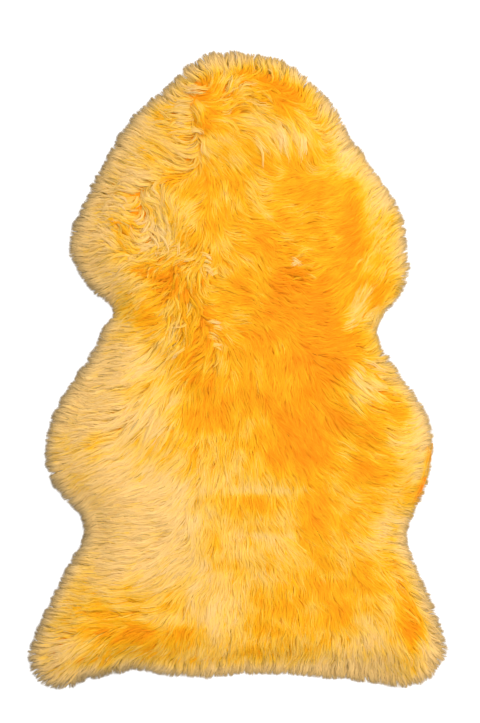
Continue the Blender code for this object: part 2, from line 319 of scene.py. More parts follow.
STAINS = (
    Stain("neck tip", -32, 453, 50, 22, 0, 0.25),
    Stain("upper left neck", -92, 385, 52, 42, 0, 0.28),
    Stain("left neck", -132, 320, 45, 45, 0, 0.34),
    Stain("left shoulder edge", -205, 268, 48, 70, -25, 0.38),
    Stain("left foreleg", -225, 190, 55, 80, 0, 0.34),
    Stain("big curl", -120, 202, 32, 48, 0, 0.30),
    Stain("left shoulder", -135, 262, 40, 28, 0, 0.14),
    Stain("neck fan", 75, 350, 36, 34, -20, 0.30),
    Stain("foot of the fan", 134, 312, 28, 22, 0, -0.26),
    Stain("right neck edge", 162, 318, 20, 45, 25, 0.40),
    Stain("right shoulder edge", 205, 255, 22, 50, 15, 0.25),
    Stain("right foreleg", 222, 200, 26, 70, 0, 0.20),
    Stain("right foreleg tufts", 185, 112, 26, 24, 0, 0.12),
    Stain("right notch tufts", 178, 80, 26, 26, 20, 0.38),
    Stain("chest tufts", -45, 140, 40, 22, 0, 0.20),
    Stain("waist tufts", -20, 50, 24, 30, 0, 0.08),
    Stain("left flank", -205, -60, 92, 150, 0, 0.44),
    Stain("left waist", -156, 32, 50, 44, 0, 0.21),
    Stain("left hind side", -152, -230, 104, 75, 0, 0.60),
    Stain("neck middle light", 28, 356, 20, 16, 0, 0.20),
    Stain("withers light", -25, 252, 26, 18, 0, 0.15),
    Stain("shoulder curls light", -129, 260, 22, 18, 0, 0.22),
    Stain("tail middle light", 72, -318, 24, 24, 0, 0.24),
    Stain("above the crease", 42, -164, 44, 12, 0, 0.16),
    Stain("right belly rim", 268, -90, 14, 50, 0, 0.20),
    Stain("upper neck deep", -92, 356, 20, 16, 0, -0.22),
    Stain("top neck deep", 72, 386, 18, 14, 0, -0.22),
    Stain("right loin", 150, -270, 100, 100, 0, -0.05),
    Stain("right hind", 165, -330, 60, 45, 0, -0.05),
    Stain("right corner deep", 229, -382, 18, 18, 0, -0.20),
    Stain("left hind side low", -118, -295, 78, 45, 0, 0.27),
    Stain("right flank light", 177, -31, 15, 42, 0, 0.28),
    Stain("right belly light", 244, -112, 18, 24, 0, 0.10),
    Stain("right hind light", 206, -240, 24, 26, 0, 0.28),
    Stain("right neck light", 87, 431, 26, 16, 0, 0.28),
    Stain("right cheek light", 139, 386, 18, 20, 0, 0.24),
    Stain("chest light", -84, 170, 34, 24, 0, 0.16),
    Stain("upper back light", 5, 237, 38, 18, 0, 0.10),
    Stain("left of the back", -40, -128, 22, 18, 0, -0.14),
    Stain("above the tail", -30, -368, 32, 54, 0, 0.38),
    Stain("right flank wisps", 200, -25, 46, 40, -35, 0.46),
    Stain("right belly", 268, -98, 30, 55, 0, 0.30),
    Stain("right hind waist", 240, -235, 45, 40, 0, 0.26),
    Stain("right hind edge", 262, -290, 32, 48, 20, 0.24),
    Stain("right tail", 175, -417, 85, 32, 0, 0.28),
    Stain("right rump", 222, -368, 24, 26, 0, 0.13),
    Stain("right tail edge", 297, -420, 22, 60, 0, 0.50),
    Stain("left tail corner", -280, -425, 50, 80, 0, 0.40),
    Stain("left hem", -130, -457, 150, 16, 0, 0.22),
    Stain("right hem", 110, -453, 150, 26, 0, 0.34),
    Stain("crease light", 52, -178, 58, 6, 0, 0.36),
    Stain("below the crease", 48, -200, 62, 11, 0, -0.17),
    Stain("lower crease light", 45, -246, 40, 6, 0, 0.26),
    Stain("left belly light", -114, -39, 26, 30, 0, 0.22),
    Stain("parting light", -99, 43, 17, 28, 0, 0.28),
    Stain("left neck light", -64, 314, 32, 20, 0, 0.34),
    Stain("neck whorl light", 20, 391, 27, 23, 0, 0.33),
    Stain("left foreleg low", -172, 148, 32, 18, 0, 0.28),
    Stain("loin light", 0, -230, 22, 22, 0, 0.19),
    Stain("tail light", 5, -382, 18, 22, 0, 0.20),
    Stain("left tail light", -99, -367, 36, 12, 0, 0.22),
    Stain("back", 105, 35, 125, 155, 0, -0.31),
    Stain("deep back", 145, 0, 36, 62, 0, -0.24),
    Stain("deep loin", 95, -125, 50, 50, -15, -0.26),
    Stain("shoulders", 60, 205, 150, 80, 0, -0.09),
    Stain("under the neck", 20, 305, 80, 26, 0, -0.10),
    Stain("right neck hollow", 118, 365, 22, 40, 35, -0.26),
    Stain("right ridge", 172, 215, 16, 62, 0, -0.42),
    Stain("deep chest", 75, 115, 45, 35, 0, -0.20),
    Stain("left neck hollow", -98, 280, 24, 24, 0, -0.22),
    Stain("left notch", -140, 77, 36, 20, -20, -0.44),
    Stain("under the big curl", -108, 140, 46, 34, 0, -0.42),
    Stain("foreleg speckle", -172, 200, 14, 20, 0, -0.30),
    Stain("right foreleg low", 228, 118, 22, 24, 0, -0.22),
    Stain("parting", -72, 5, 24, 75, 8, -0.36),
    Stain("left of the parting", -140, -8, 26, 34, 0, -0.04),
    Stain("left of the loin", -20, -262, 24, 60, 0, -0.22),
    Stain("tail deep band", 68, -345, 28, 62, 0, -0.20),
    Stain("left of the tail", -104, -390, 58, 24, 0, -0.42),
    Stain("left hind fold", -107, -312, 30, 30, 0, -0.30),
    Stain("neck fan deep", 65, 371, 22, 14, 0, -0.20),
    Stain("cheek deep", -129, 327, 20, 24, 0, -0.20),
    Stain("withers deep", -69, 262, 20, 14, 0, -0.16),
    Stain("left belly shade", -136, -143, 40, 22, 0, -0.14),
    Stain("left of the crease", -10, -98, 26, 20, 0, -0.14),
    Stain("right hem shade", 160, -419, 46, 14, 0, -0.16),
    Stain("tail hem shade", 5, -419, 40, 14, 0, -0.16),
    Stain("right hind waist deep", 236, -240, 12, 14, 0, -0.30),
    Stain("right tail deep", 117, -378, 20, 22, 0, -0.26),
    Stain("right rump deep", 246, -338, 20, 26, 0, -0.28),
    Stain("left rump", -205, -376, 32, 28, 0, -0.24),
    Stain("right corner", 256, -389, 20, 31, 0, -0.34),
    Stain("right flank strip", 281, -162, 6, 50, -16, -0.66),
    Stain("right flank", 236, -60, 24, 26, 0, -0.40),
    Stain("right foreleg deep", 230, 200, 12, 24, 0, -0.26),
    Stain("left belly deep", -214, -126, 24, 14, 0, -0.22),
    Stain("left cheek deep", -136, 312, 18, 16, 0, -0.22),
    Stain("neck tip deep", -6, 438, 30, 14, 0, -0.36),
    Stain("right flank low", 214, -200, 26, 26, 0, -0.16),
    Stain("neck hollow", -42, 355, 24, 26, 0, -0.38),
    Stain("neck top", -25, 405, 30, 18, 0, -0.16),
    Stain("right neck", 48, 400, 40, 22, 0, -0.32),
    Stain("belly spot", -210, -105, 18, 12, 0, -0.46),
)


@dataclass(frozen=True)
class RimShift:
    """A stretch of the rim where the wool hangs further out, or less far, than elsewhere.

    Places and radii are in millimetres, and shift is in metres outward.
    """

    name: str
    x: float
    y: float
    radius: float
    shift: float


RIM_SHIFTS = (
    RimShift("left notch", -191, 86, 23, -0.009),
    RimShift("right neck", 145, 375, 55, 0.0035),
    RimShift("right foreleg", 250, 160, 60, 0.003),
    RimShift("right belly", 290, -80, 70, 0.003),
    RimShift("right tail corner", 300, -410, 70, 0.0045),
    RimShift("left tail corner", -290, -460, 50, 0.0045),
    RimShift("left hem", -170, -470, 45, 0.003),
    RimShift("left foreleg", -245, 185, 40, 0.0025),
    RimShift("left belly foot", -255, -190, 35, 0.003),
)


def smooth_step(low: float, high: float, value: Array) -> Array:
    """Ease from 0 at low to 1 at high."""
    share = np.clip((value - low) / (high - low), 0.0, 1.0)
    return share * share * (3.0 - 2.0 * share)


def along_way(angles: Array) -> Array:
    """Unit vectors on the floor plan that point along the angles."""
    return np.stack([np.cos(angles), np.sin(angles)], axis=-1)


def unit(vectors: Array) -> Array:
    """The same directions with a length of 1."""
    lengths = np.linalg.norm(vectors, axis=-1, keepdims=True)
    return vectors / np.maximum(lengths, SMALLEST_LENGTH)


def picked(record: Record, members: Array) -> Record:
    """A copy of a record of arrays that holds only the rows that members picks."""
    return type(record)(*(part[members] for part in vars(record).values()))


def level(height: float) -> Heights:
    """A function that gives every place the same height."""
    return lambda places: np.full(len(places), height)


def read_lines(lines: Array, owner: Array, cells: Array) -> Array:
    """Read lines of evenly spaced points between their points.

    Args:
        lines: the lines, each a row of points.
        owner: the index of the line that each row of cells is of.
        cells: places along the lines, in steps from one point to the next.

    Returns:
        One point for each cell.
    """
    base = np.clip(np.floor(cells).astype(int), 0, lines.shape[1] - 2)
    rest = (cells - base)[..., None]
    rows = owner[:, None]
    return lines[rows, base] * (1.0 - rest) + lines[rows, base + 1] * rest


def placed(name: str, data: bpy.types.ID) -> bpy.types.Object:
    """Put a new object into the scene.

    Args:
        name: the object's name.
        data: the mesh, light or camera that it shows.

    Returns:
        The new object.
    """
    made = bpy.data.objects.new(name, data)
    bpy.context.scene.collection.objects.link(made)
    return made


@dataclass
class SmoothNoise:
    """Seeded noise from -1 to 1 that changes smoothly over the floor plan."""

    size: float
    seed: int
    lattice_side: int = 128
    lattice: Array = field(init=False)

    def __post_init__(self) -> None:
        """Draw the lattice of random values."""
        draw = np.random.default_rng(self.seed)
        self.lattice = draw.uniform(-1.0, 1.0, (self.lattice_side, self.lattice_side))

    def at(self, places: Array) -> Array:
        """Read the noise.

        Args:
            places: points on the floor plan, one row each, in metres.

        Returns:
            One value from -1 to 1 for each place.
        """
        cells = places / self.size
        base = np.floor(cells).astype(int)
        share = smooth_step(0.0, 1.0, cells - base)
        low, high = base % self.lattice_side, (base + 1) % self.lattice_side
        near = self._mix(low[..., 0], high[..., 0], low[..., 1], share[..., 0])
        far = self._mix(low[..., 0], high[..., 0], high[..., 1], share[..., 0])
        return near + (far - near) * share[..., 1]

    def _mix(self, left: Array, right: Array, row: Array,
             share: Array) -> Array:
        """Blend two lattice values of a row."""
        first = self.lattice[left, row]
        return first + (self.lattice[right, row] - first) * share


class Value:
    """A number that changes over a surface: a socket that can be added, multiplied and so on."""

    def __init__(self, tree: bpy.types.NodeTree, socket: bpy.types.NodeSocket) -> None:
        """Wrap an output socket of a node tree."""
        self.tree = tree
        self.socket = socket

    def _math(self, operation: str, first: "Value | float", second: "Value | float") -> "Value":
        """Add a Math node.

        Args:
            operation: what the node does.
            first: its first operand.
            second: its second operand.

        Returns:
            What the node gives.
        """
        node = self.tree.nodes.new("ShaderNodeMath")
        node.operation = operation
        for slot, operand in zip(node.inputs, (first, second)):
            if isinstance(operand, Value):
                self.tree.links.new(operand.socket, slot)
            else:
                slot.default_value = operand
        return Value(self.tree, node.outputs[0])

    def __add__(self, other: "Value | float") -> "Value":
        """Self plus other."""
        return self._math("ADD", self, other)

    def __radd__(self, other: float) -> "Value":
        """Other plus self."""
        return self._math("ADD", other, self)

    def __sub__(self, other: "Value | float") -> "Value":
        """Self minus other."""
        return self._math("SUBTRACT", self, other)

    def __rsub__(self, other: float) -> "Value":
        """Other minus self."""
        return self._math("SUBTRACT", other, self)

    def __mul__(self, other: "Value | float") -> "Value":
        """Self times other."""
        return self._math("MULTIPLY", self, other)

    def __rmul__(self, other: float) -> "Value":
        """Other times self."""
        return self._math("MULTIPLY", other, self)

    def clamped(self) -> "Value":
        """Self, kept between 0 and 1."""
        return self._math("MAXIMUM", self._math("MINIMUM", self, 1.0), 0.0)


class Surface:
    """A material in the making: its Principled shader and the nodes that feed it."""

    MIX_COLOURS = (6, 7)
    MIX_RESULT = 2

    def __init__(self, name: str, constants: dict[str, float | tuple]) -> None:
        """Start a material.

        Args:
            name: the material's name.
            constants: values set on the shader's own sockets.
        """
        self.material = bpy.data.materials.new(name)
        self.material.use_nodes = True
        self.tree = self.material.node_tree
        self.shader = self.tree.nodes["Principled BSDF"]
        for socket, constant in constants.items():
            self.shader.inputs[socket].default_value = constant

    def node(self, kind: str, settings: dict[str, object] | None = None,
             inputs: dict[str | int, object] | None = None) -> bpy.types.Node:
        """Add a node.

        Args:
            kind: the node's type.
            settings: attributes of the node, set before its sockets.
            inputs: values, sockets or Values for its input sockets.

        Returns:
            The new node.
        """
        made = self.tree.nodes.new(kind)
        for name, setting in (settings or {}).items():
            setattr(made, name, setting)
        for name, source in (inputs or {}).items():
            self._feed(made.inputs[name], source)
        return made

    def _feed(self, socket: bpy.types.NodeSocket, source: object) -> None:
        """Link or set an input socket.

        Args:
            socket: the input socket.
            source: a Value, an output socket or a constant.
        """
        if isinstance(source, Value):
            self.tree.links.new(source.socket, socket)
        elif isinstance(source, bpy.types.NodeSocket):
            self.tree.links.new(source, socket)
        else:
            socket.default_value = source

    def attribute(self, name: str) -> Value:
        """A number stored on the mesh's points."""
        reader = self.node("ShaderNodeAttribute", {"attribute_name": name})
        return Value(self.tree, reader.outputs["Fac"])

    def noise(self, scale: float, detail: float, stretch: Colour = (1.0, 1.0, 1.0)) -> Value:
        """Noise over the object's own place.

        Args:
            scale: how fine the noise is.
            detail: how many finer steps are added to it.
            stretch: factors on the place along the axes.

        Returns:
            The noise, about 0.5.
        """
        place = self.node("ShaderNodeTexCoord").outputs["Object"]
        spread = self.node("ShaderNodeVectorMath", {"operation": "MULTIPLY"}, {0: place, 1: stretch})
        texture = self.node("ShaderNodeTexNoise", None, {
            "Vector": spread.outputs[0], "Scale": scale, "Detail": detail})
        return Value(self.tree, texture.outputs["Fac"])

    def blend(self, share: Value, low: Colour | bpy.types.NodeSocket,
              high: Colour | bpy.types.NodeSocket) -> bpy.types.NodeSocket:
        """Mix two colours.

        Args:
            share: 0 for the low colour, 1 for the high one.
            low: a colour or a colour socket.
            high: a colour or a colour socket.

        Returns:
            The socket of the mixed colour.
        """
        mixer = self.node("ShaderNodeMix", {"data_type": "RGBA"}, {0: share})
        for index, source in zip(self.MIX_COLOURS, (low, high)):
            self._feed(mixer.inputs[index], (*source, 1.0) if isinstance(source, tuple) else source)
        return mixer.outputs[self.MIX_RESULT]

    def scaled(self, colour: bpy.types.NodeSocket, factor: Value) -> bpy.types.NodeSocket:
        """A colour times a number.

        Args:
            colour: the colour.
            factor: the number.

        Returns:
            The socket of the product.
        """
        spread = self.node("ShaderNodeCombineXYZ", None, {0: factor, 1: factor, 2: factor})
        product = self.node("ShaderNodeVectorMath", {"operation": "MULTIPLY"},
                            {0: colour, 1: spread.outputs[0]})
        return product.outputs[0]

    def bump(self, height: Value, distance: float, strength: float) -> None:
        """Feed the shader's normal from a height.

        Args:
            height: the height, from 0 to 1.
            distance: what a height of 1 stands for, in metres.
            strength: how much of the bump shows.
        """
        bumped = self.node("ShaderNodeBump", None, {
            "Height": height, "Distance": distance, "Strength": strength})
        self._feed(self.shader.inputs["Normal"], bumped.outputs["Normal"])

    def feed(self, socket: str, source: Value | bpy.types.NodeSocket) -> None:
        """Link a value or a colour into the shader."""
        self._feed(self.shader.inputs[socket], source)


@dataclass(frozen=True)
class WoolFinish:
    """Dyed wool: deep at the root, golden along the lock and bleached to straw at a pale tip, and
    pulled towards a dull tan at the rim that is partly the tips' own colour and partly painted shade.
    """

    name: str = "dyed wool"
    root: Colour = (0.86, 0.235, 0.003)
    deep: Colour = (0.865, 0.265, 0.002)
    gold: Colour = (0.870, 0.480, 0.009)
    straw: Colour = (0.855, 0.545, 0.185)
    # Dull dark tan at the rim: partly the tips' own tan, partly painted shade where the wool hangs down
    # away from the light.
    rim: Colour = (0.34, 0.255, 0.14)
    root_fade: float = 2.2
    root_start: float = 0.15
    gold_gain: float = 2.0
    gold_at_root: float = 0.35
    straw_gain: float = 2.0
    straw_start: float = 0.75
    straw_at_root: float = 0.25
    straw_along: float = 1.1
    rim_at_root: float = 0.25
    roughness: float = 0.62
    specular: float = 0.08

    def make(self) -> bpy.types.Material:
        """Build the material from the strands' own attributes.

        Returns:
            The new material.
        """
        surface = Surface(self.name, {
            "Roughness": self.roughness, "Specular IOR Level": self.specular})
        along = surface.attribute("along")
        pale = surface.attribute("pale")
        rim = surface.attribute("rim")
        shade = surface.attribute("shade")
        opened = (self.root_fade * along + self.root_start).clamped()
        lower = surface.blend(opened, self.root, self.deep)
        gilt = (self.gold_gain * pale * (self.gold_at_root + along)).clamped()
        golden = surface.blend(gilt, lower, self.gold)
        faded = self.straw_gain * pale - self.straw_start
        faded = (faded * (self.straw_at_root + self.straw_along * along)).clamped()
        bleached = surface.blend(faded, golden, self.straw)
        # Painted shade, partly the tips' own tan: the rim tone pulls the colour towards the dark rim
        # colour, most at the tips.
        rim_shade_share = (rim * (self.rim_at_root + (1.0 - self.rim_at_root) * along)).clamped()
        rim_shaded = surface.blend(rim_shade_share, bleached, self.rim)
        surface.feed("Base Color", surface.scaled(rim_shaded, shade))
        return surface.material


@dataclass(frozen=True)
class UnderWoolFinish:
    """The dense wool below the locks: deep orange, streaked where it packs together."""

    name: str = "dense under wool"
    deep: Colour = (0.93, 0.24, 0.004)
    light: Colour = (0.95, 0.34, 0.006)
    streak_scale: float = 160.0
    streak_detail: float = 3.0
    streak_stretch: tuple[float, float, float] = (1.0, 0.35, 1.0)
    bump_distance: float = 0.002
    bump_strength: float = 0.8
    roughness: float = 0.85
    specular: float = 0.08

    def make(self) -> bpy.types.Material:
        """Build the material.

        Returns:
            The new material.
        """
        surface = Surface(self.name, {
            "Roughness": self.roughness, "Specular IOR Level": self.specular})
        streaks = surface.noise(self.streak_scale, self.streak_detail, self.streak_stretch)
        surface.feed("Base Color", surface.blend(streaks, self.deep, self.light))
        surface.bump(streaks, self.bump_distance, self.bump_strength)
        return surface.material


@dataclass(frozen=True)
class SuedeFinish:
    """The brushed flesh side of tanned skin: cream tan, cloudy, with a fine nap."""

    name: str = "brushed suede"
    light: Colour = (0.72, 0.53, 0.31)
    dark: Colour = (0.55, 0.36, 0.17)
    cloud_scale: float = 14.0
    cloud_detail: float = 4.0
    nap_scale: float = 900.0
    nap_detail: float = 2.0
    cloud_share: float = 0.9
    nap_share: float = 0.35
    darker: float = 0.15
    roughness: float = 0.78
    cloud_roughness: float = 0.2
    cloud_bump: float = 0.6
    bump_distance: float = 0.0004
    bump_strength: float = 0.5
    sheen: float = 0.35
    sheen_roughness: float = 0.5

    def make(self) -> bpy.types.Material:
        """Build the material.

        Returns:
            The new material.
        """
        surface = Surface(self.name, {
            "Sheen Weight": self.sheen, "Sheen Roughness": self.sheen_roughness})
        clouds = surface.noise(self.cloud_scale, self.cloud_detail)
        nap = surface.noise(self.nap_scale, self.nap_detail)
        lit = (self.cloud_share * clouds + self.nap_share * nap - self.darker).clamped()
        surface.feed("Base Color", surface.blend(lit, self.dark, self.light))
        surface.feed("Roughness", self.roughness + self.cloud_roughness * clouds)
        surface.bump(nap + self.cloud_bump * clouds, self.bump_distance, self.bump_strength)
        return surface.material


@dataclass(frozen=True)
class FloorFinish:
    """The studio's plain, nearly white floor."""

    name: str = "studio floor"
    colour: Colour = (0.90, 0.90, 0.90)
    roughness: float = 0.9

    def make(self) -> bpy.types.Material:
        """Build the material."""
        constants = {"Base Color": (*self.colour, 1.0), "Roughness": self.roughness}
        return Surface(self.name, constants).material


@dataclass
class PeltPlan:
    """Floor plan of the pelt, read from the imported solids: the hide's edge and the wool's height."""

    cell: float = 0.004
    margin: float = 0.060
    height_blur: int = 2
    edge_blur: int = 3
    merge_distance: float = 1e-5
    flat_normal: float = 0.5
    look_down_from: float = 1.0
    jitter: float = 0.35
    outline: Array = field(init=False)
    origin: Array = field(init=False)
    inset: Array = field(init=False)
    outward: Array = field(init=False)
    height: Array = field(init=False)
    slope: Array = field(init=False)

    def __post_init__(self) -> None:
        """Measure the grids."""
        self.outline = self._hide_edge()
        low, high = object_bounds()
        self.origin = np.array(low.xy) - self.margin
        reach = np.array(high.xy) + self.margin - self.origin
        columns, rows = np.ceil(reach / self.cell).astype(int) + 1
        grid_x = self.origin[0] + self.cell * np.arange(columns)
        grid_y = self.origin[1] + self.cell * np.arange(rows)
        places = np.stack(np.meshgrid(grid_x, grid_y, indexing="ij"), axis=-1)
        self.inset = np.stack([self._signed_distance(line) for line in places])
        eased = self._blurred(self.inset, self.edge_blur)
        self.outward = unit(-np.stack(np.gradient(eased, self.cell), axis=-1))
        self.height = self._blurred(self._wool_height(places), self.height_blur)
        self.slope = np.stack(np.gradient(self.height, self.cell), axis=-1)

    def _hide_edge(self) -> Array:
        """Walk round the hide's cut edge once, counter-clockwise.

        Returns:
            The edge's points on the floor plan, one row each.
        """
        mesh = bmesh.new()
        mesh.from_mesh(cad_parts["hide"].data)
        bmesh.ops.remove_doubles(mesh, verts=mesh.verts, dist=self.merge_distance)
        middle = 0.5 * (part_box("hide")[0].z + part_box("hide")[1].z)
        neighbours: dict[int, list[int]] = {}
        for edge in mesh.edges:
            flats = [face for face in edge.link_faces if abs(face.normal.z) > self.flat_normal]
            low = all(vert.co.z < middle for vert in edge.verts)
            if low and len(flats) == 1 and len(edge.link_faces) == 2:
                first, second = (vert.index for vert in edge.verts)
                neighbours.setdefault(first, []).append(second)
                neighbours.setdefault(second, []).append(first)
        start = next(iter(neighbours))
        walk = [start, neighbours[start][0]]
        while walk[-1] != start:
            ahead = [index for index in neighbours[walk[-1]] if index != walk[-2]]
            walk.append(ahead[0])
        mesh.verts.ensure_lookup_table()
        loop = np.array([mesh.verts[index].co.xy for index in walk[:-1]])
        mesh.free()
        x, y = loop[:, 0], loop[:, 1]
        area = 0.5 * np.sum(x * np.roll(y, -1) - np.roll(x, -1) * y)
        return loop if area > 0.0 else loop[::-1]

    def _signed_distance(self, places: Array) -> Array:
        """Measure how far places are inside the hide's edge.

        Args:
            places: points on the floor plan, one row each.

        Returns:
            The distance of each place, less than 0 outside the edge.
        """
        starts = self.outline
        ends = np.roll(starts, -1, axis=0)
        runs = ends - starts
        to_place = places[:, None, :] - starts[None, :, :]
        share = np.einsum("pij,ij->pi", to_place, runs) / np.einsum("ij,ij->i", runs, runs)
        nearest = to_place - np.clip(share, 0.0, 1.0)[..., None] * runs[None, :, :]
        distance = np.sqrt(np.min(np.einsum("pij,pij->pi", nearest, nearest), axis=1))
        x, y = places[:, 0, None], places[:, 1, None]
        straddles = (starts[:, 1] > y) != (ends[:, 1] > y)
        rise = np.where(runs[:, 1] == 0.0, 1.0, runs[:, 1])
        crossings = straddles & (x < starts[:, 0] + (y - starts[:, 1]) / rise * runs[:, 0])
        inside = np.count_nonzero(crossings, axis=1) % 2 == 1
        return np.where(inside, distance, -distance)

    def _wool_height(self, places: Array) -> Array:
        """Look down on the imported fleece.

        Args:
            places: a grid of points on the floor plan.

        Returns:
            Height of the fleece's top at each place, 0 where it has none.
        """
        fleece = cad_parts["fleece"]
        tree = BVHTree.FromPolygons([vert.co[:] for vert in fleece.data.vertices],
                                    [face.vertices[:] for face in fleece.data.polygons])
        down = Vector((0.0, 0.0, -1.0))
        heights = np.zeros(places.shape[:2])
        for index in np.ndindex(heights.shape):
            if self.inset[index] > -self.margin:
                hit = tree.ray_cast(Vector((*places[index], self.look_down_from)), down)[0]
                heights[index] = hit.z if hit is not None else 0.0
        return heights

    @staticmethod
    def _blurred(grid: Array, times: int) -> Array:
        """Smooth a grid by averaging neighbours.

        Args:
            grid: the grid.
            times: how often it is averaged.

        Returns:
            The smoothed grid.
        """
        own, around = 2.0, 4.0
        for _ in range(times):
            padded = np.pad(grid, 1, mode="edge")
            grid = (own * padded[1:-1, 1:-1] + padded[:-2, 1:-1] + padded[2:, 1:-1]
                    + padded[1:-1, :-2] + padded[1:-1, 2:]) / (own + around)
        return grid

    def read(self, grid: Array, places: Array) -> Array:
        """Read a grid between its points.

        Args:
            grid: one of this plan's grids.
            places: points on the floor plan, one row each.

        Returns:
            The grid's value at each place.
        """
        cells = (places - self.origin) / self.cell
        limit = np.array(grid.shape[:2]) - 2
        base = np.clip(np.floor(cells).astype(int), 0, limit)
        share = np.clip(cells - base, 0.0, 1.0)
        across, up = share[..., 0], share[..., 1]
        if grid.ndim == 3:
            across, up = across[..., None], up[..., None]
        i, j = base[..., 0], base[..., 1]
        near = grid[i, j] * (1.0 - across) + grid[i + 1, j] * across
        far = grid[i, j + 1] * (1.0 - across) + grid[i + 1, j + 1] * across
        return near * (1.0 - up) + far * up

    def ring(self, offset: float, spacing: float) -> Array:
        """Walk round the hide's edge.

        Args:
            offset: how far the points are moved outward.
            spacing: how far they are apart.

        Returns:
            Points on the floor plan, one row each.
        """
        ends = np.vstack([self.outline, self.outline[:1]])
        steps = np.concatenate([[0.0], np.cumsum(np.linalg.norm(np.diff(ends, axis=0), axis=1))])
        stations = np.arange(0.0, steps[-1] - 0.5 * spacing, spacing)
        points = np.stack([np.interp(stations, steps, ends[:, axis]) for axis in (0, 1)], axis=-1)
        return points + offset * self.read(self.outward, points)

    def scattered(self, spacing: float, least_inset: float, seed: int) -> Array:
        """Scatter places evenly, in jittered rows of equilateral triangles.

        Args:
            spacing: how far they are apart.
            least_inset: how far inside the hide's edge they are at least.
            seed: seed of the jitter.

        Returns:
            Points on the floor plan, one row each.
        """
        draw = np.random.default_rng(seed)
        span = np.array(self.inset.shape) * self.cell
        row_step = spacing * TRIANGLE_HEIGHT
        rows = np.arange(int(span[1] / row_step))
        columns = np.arange(int(span[0] / spacing))
        x = columns[:, None] * spacing + 0.5 * spacing * (rows[None, :] % 2)
        y = np.broadcast_to(rows[None, :] * row_step, x.shape)
        places = np.stack([x, y], axis=-1).reshape(-1, 2) + self.origin
        places = places + draw.uniform(-self.jitter, self.jitter, places.shape) * spacing
        return places[self.read(self.inset, places) > least_inset]


@dataclass
class Comb:
    """The way that the wool lies, blended from the strokes and turned outward at the rim."""

    plan: PeltPlan
    stroke_softness: float = 0.022
    stroke_falloff: float = 2.0
    rim_start: float = 0.030
    rim_full: float = -0.020
    wander: float = 0.7
    small_wander: float = 0.5
    ripple: float = 0.24
    ripple_length: float = 0.034
    ripple_shift: float = 5.0
    ripple_drift: SmoothNoise = field(default_factory=lambda: SmoothNoise(size=0.055, seed=7))
    swirl: SmoothNoise = field(default_factory=lambda: SmoothNoise(size=0.042, seed=5))
    small_swirl: SmoothNoise = field(default_factory=lambda: SmoothNoise(size=0.017, seed=6))
    stroke_places: Array = field(init=False)
    stroke_ways: Array = field(init=False)
    stroke_habits: Array = field(init=False)

    def __post_init__(self) -> None:
        """Turn the strokes into arrays."""
        self.stroke_places = MILLIMETRE * np.array([(stroke.x, stroke.y) for stroke in STROKES])
        self.stroke_ways = along_way(np.radians([stroke.heading for stroke in STROKES]))
        habits = [HABITS[stroke.coat] for stroke in STROKES]
        self.stroke_habits = np.array([list(vars(habit).values()) for habit in habits])

    def _shares(self, places: Array) -> Array:
        """Weigh the strokes.

        Args:
            places: points on the floor plan, one row each.

        Returns:
            How much each stroke counts at each place.
        """
        gaps = places[:, None, :] - self.stroke_places[None, :, :]
        far = np.sum(gaps * gaps, axis=-1) + self.stroke_softness ** 2
        weights = far ** -self.stroke_falloff
        return weights / weights.sum(axis=1, keepdims=True)

    def habits(self, places: Array) -> Habit:
        """The blended habit at each place, each of its fields an array."""
        return Habit(*(self._shares(places) @ self.stroke_habits).T)

    def headings(self, places: Array, swirls: Array, rim_turn: float) -> Array:
        """Angles that the wool lies along.

        Args:
            places: points on the floor plan, one row each.
            swirls: how far in radians the coat wanders off the comb there.
            rim_turn: how far the wool turns straight outward at the rim, from 0 to 1.

        Returns:
            One angle for each place.
        """
        ways = unit(self._shares(places) @ self.stroke_ways)
        inset = self.plan.read(self.plan.inset, places)
        share = rim_turn * (1.0 - smooth_step(self.rim_full, self.rim_start, inset))
        outward = self.plan.read(self.plan.outward, places)
        ways = ways * (1.0 - share[:, None]) + outward * share[:, None]
        wander = self.wander * self.swirl.at(places) + self.small_wander * self.small_swirl.at(places)
        phase = 2.0 * math.pi * inset / self.ripple_length
        phase = phase + self.ripple_shift * self.ripple_drift.at(places)
        return np.arctan2(ways[:, 1], ways[:, 0]) + swirls * wander + self.ripple * np.sin(phase)


@dataclass
class Dye:
    """How pale the dyed wool is from place to place."""

    base: float = 0.450
    mottle: float = 0.19
    fleck: float = 0.14
    stain_falloff: float = 0.9
    least: float = 0.05
    most: float = 1.0
    clouds: SmoothNoise = field(default_factory=lambda: SmoothNoise(size=0.038, seed=21))
    flecks: SmoothNoise = field(default_factory=lambda: SmoothNoise(size=0.016, seed=22))

    def paleness(self, places: Array, bleach: Array) -> Array:
        """How pale the wool is, from 0 for deep orange to 1 for straw.

        Args:
            places: points on the floor plan.
            bleach: paleness that light and wear have added at each place.

        Returns:
            One value for each place.
        """
        pale = self.base + self.mottle * self.clouds.at(places) + self.fleck * self.flecks.at(places)
        pale = pale + bleach
        for stain in STAINS:
            off = places - MILLIMETRE * np.array([stain.x, stain.y])
            turn = math.radians(stain.turn)
            across = math.cos(turn) * off[..., 0] + math.sin(turn) * off[..., 1]
            up = -math.sin(turn) * off[..., 0] + math.cos(turn) * off[..., 1]
            across = across / (MILLIMETRE * stain.radius_x)
            up = up / (MILLIMETRE * stain.radius_y)
            pale = pale + stain.shift * np.exp(-self.stain_falloff * (across ** 2 + up ** 2))
        return np.clip(pale, self.least, self.most)


@dataclass
class Locks:
    """Locks of wool as guide lines: points from root to tip, and each lock's own habit."""

    guides: Array
    lengths: Array
    habit: Habit
    pale_shift: Array


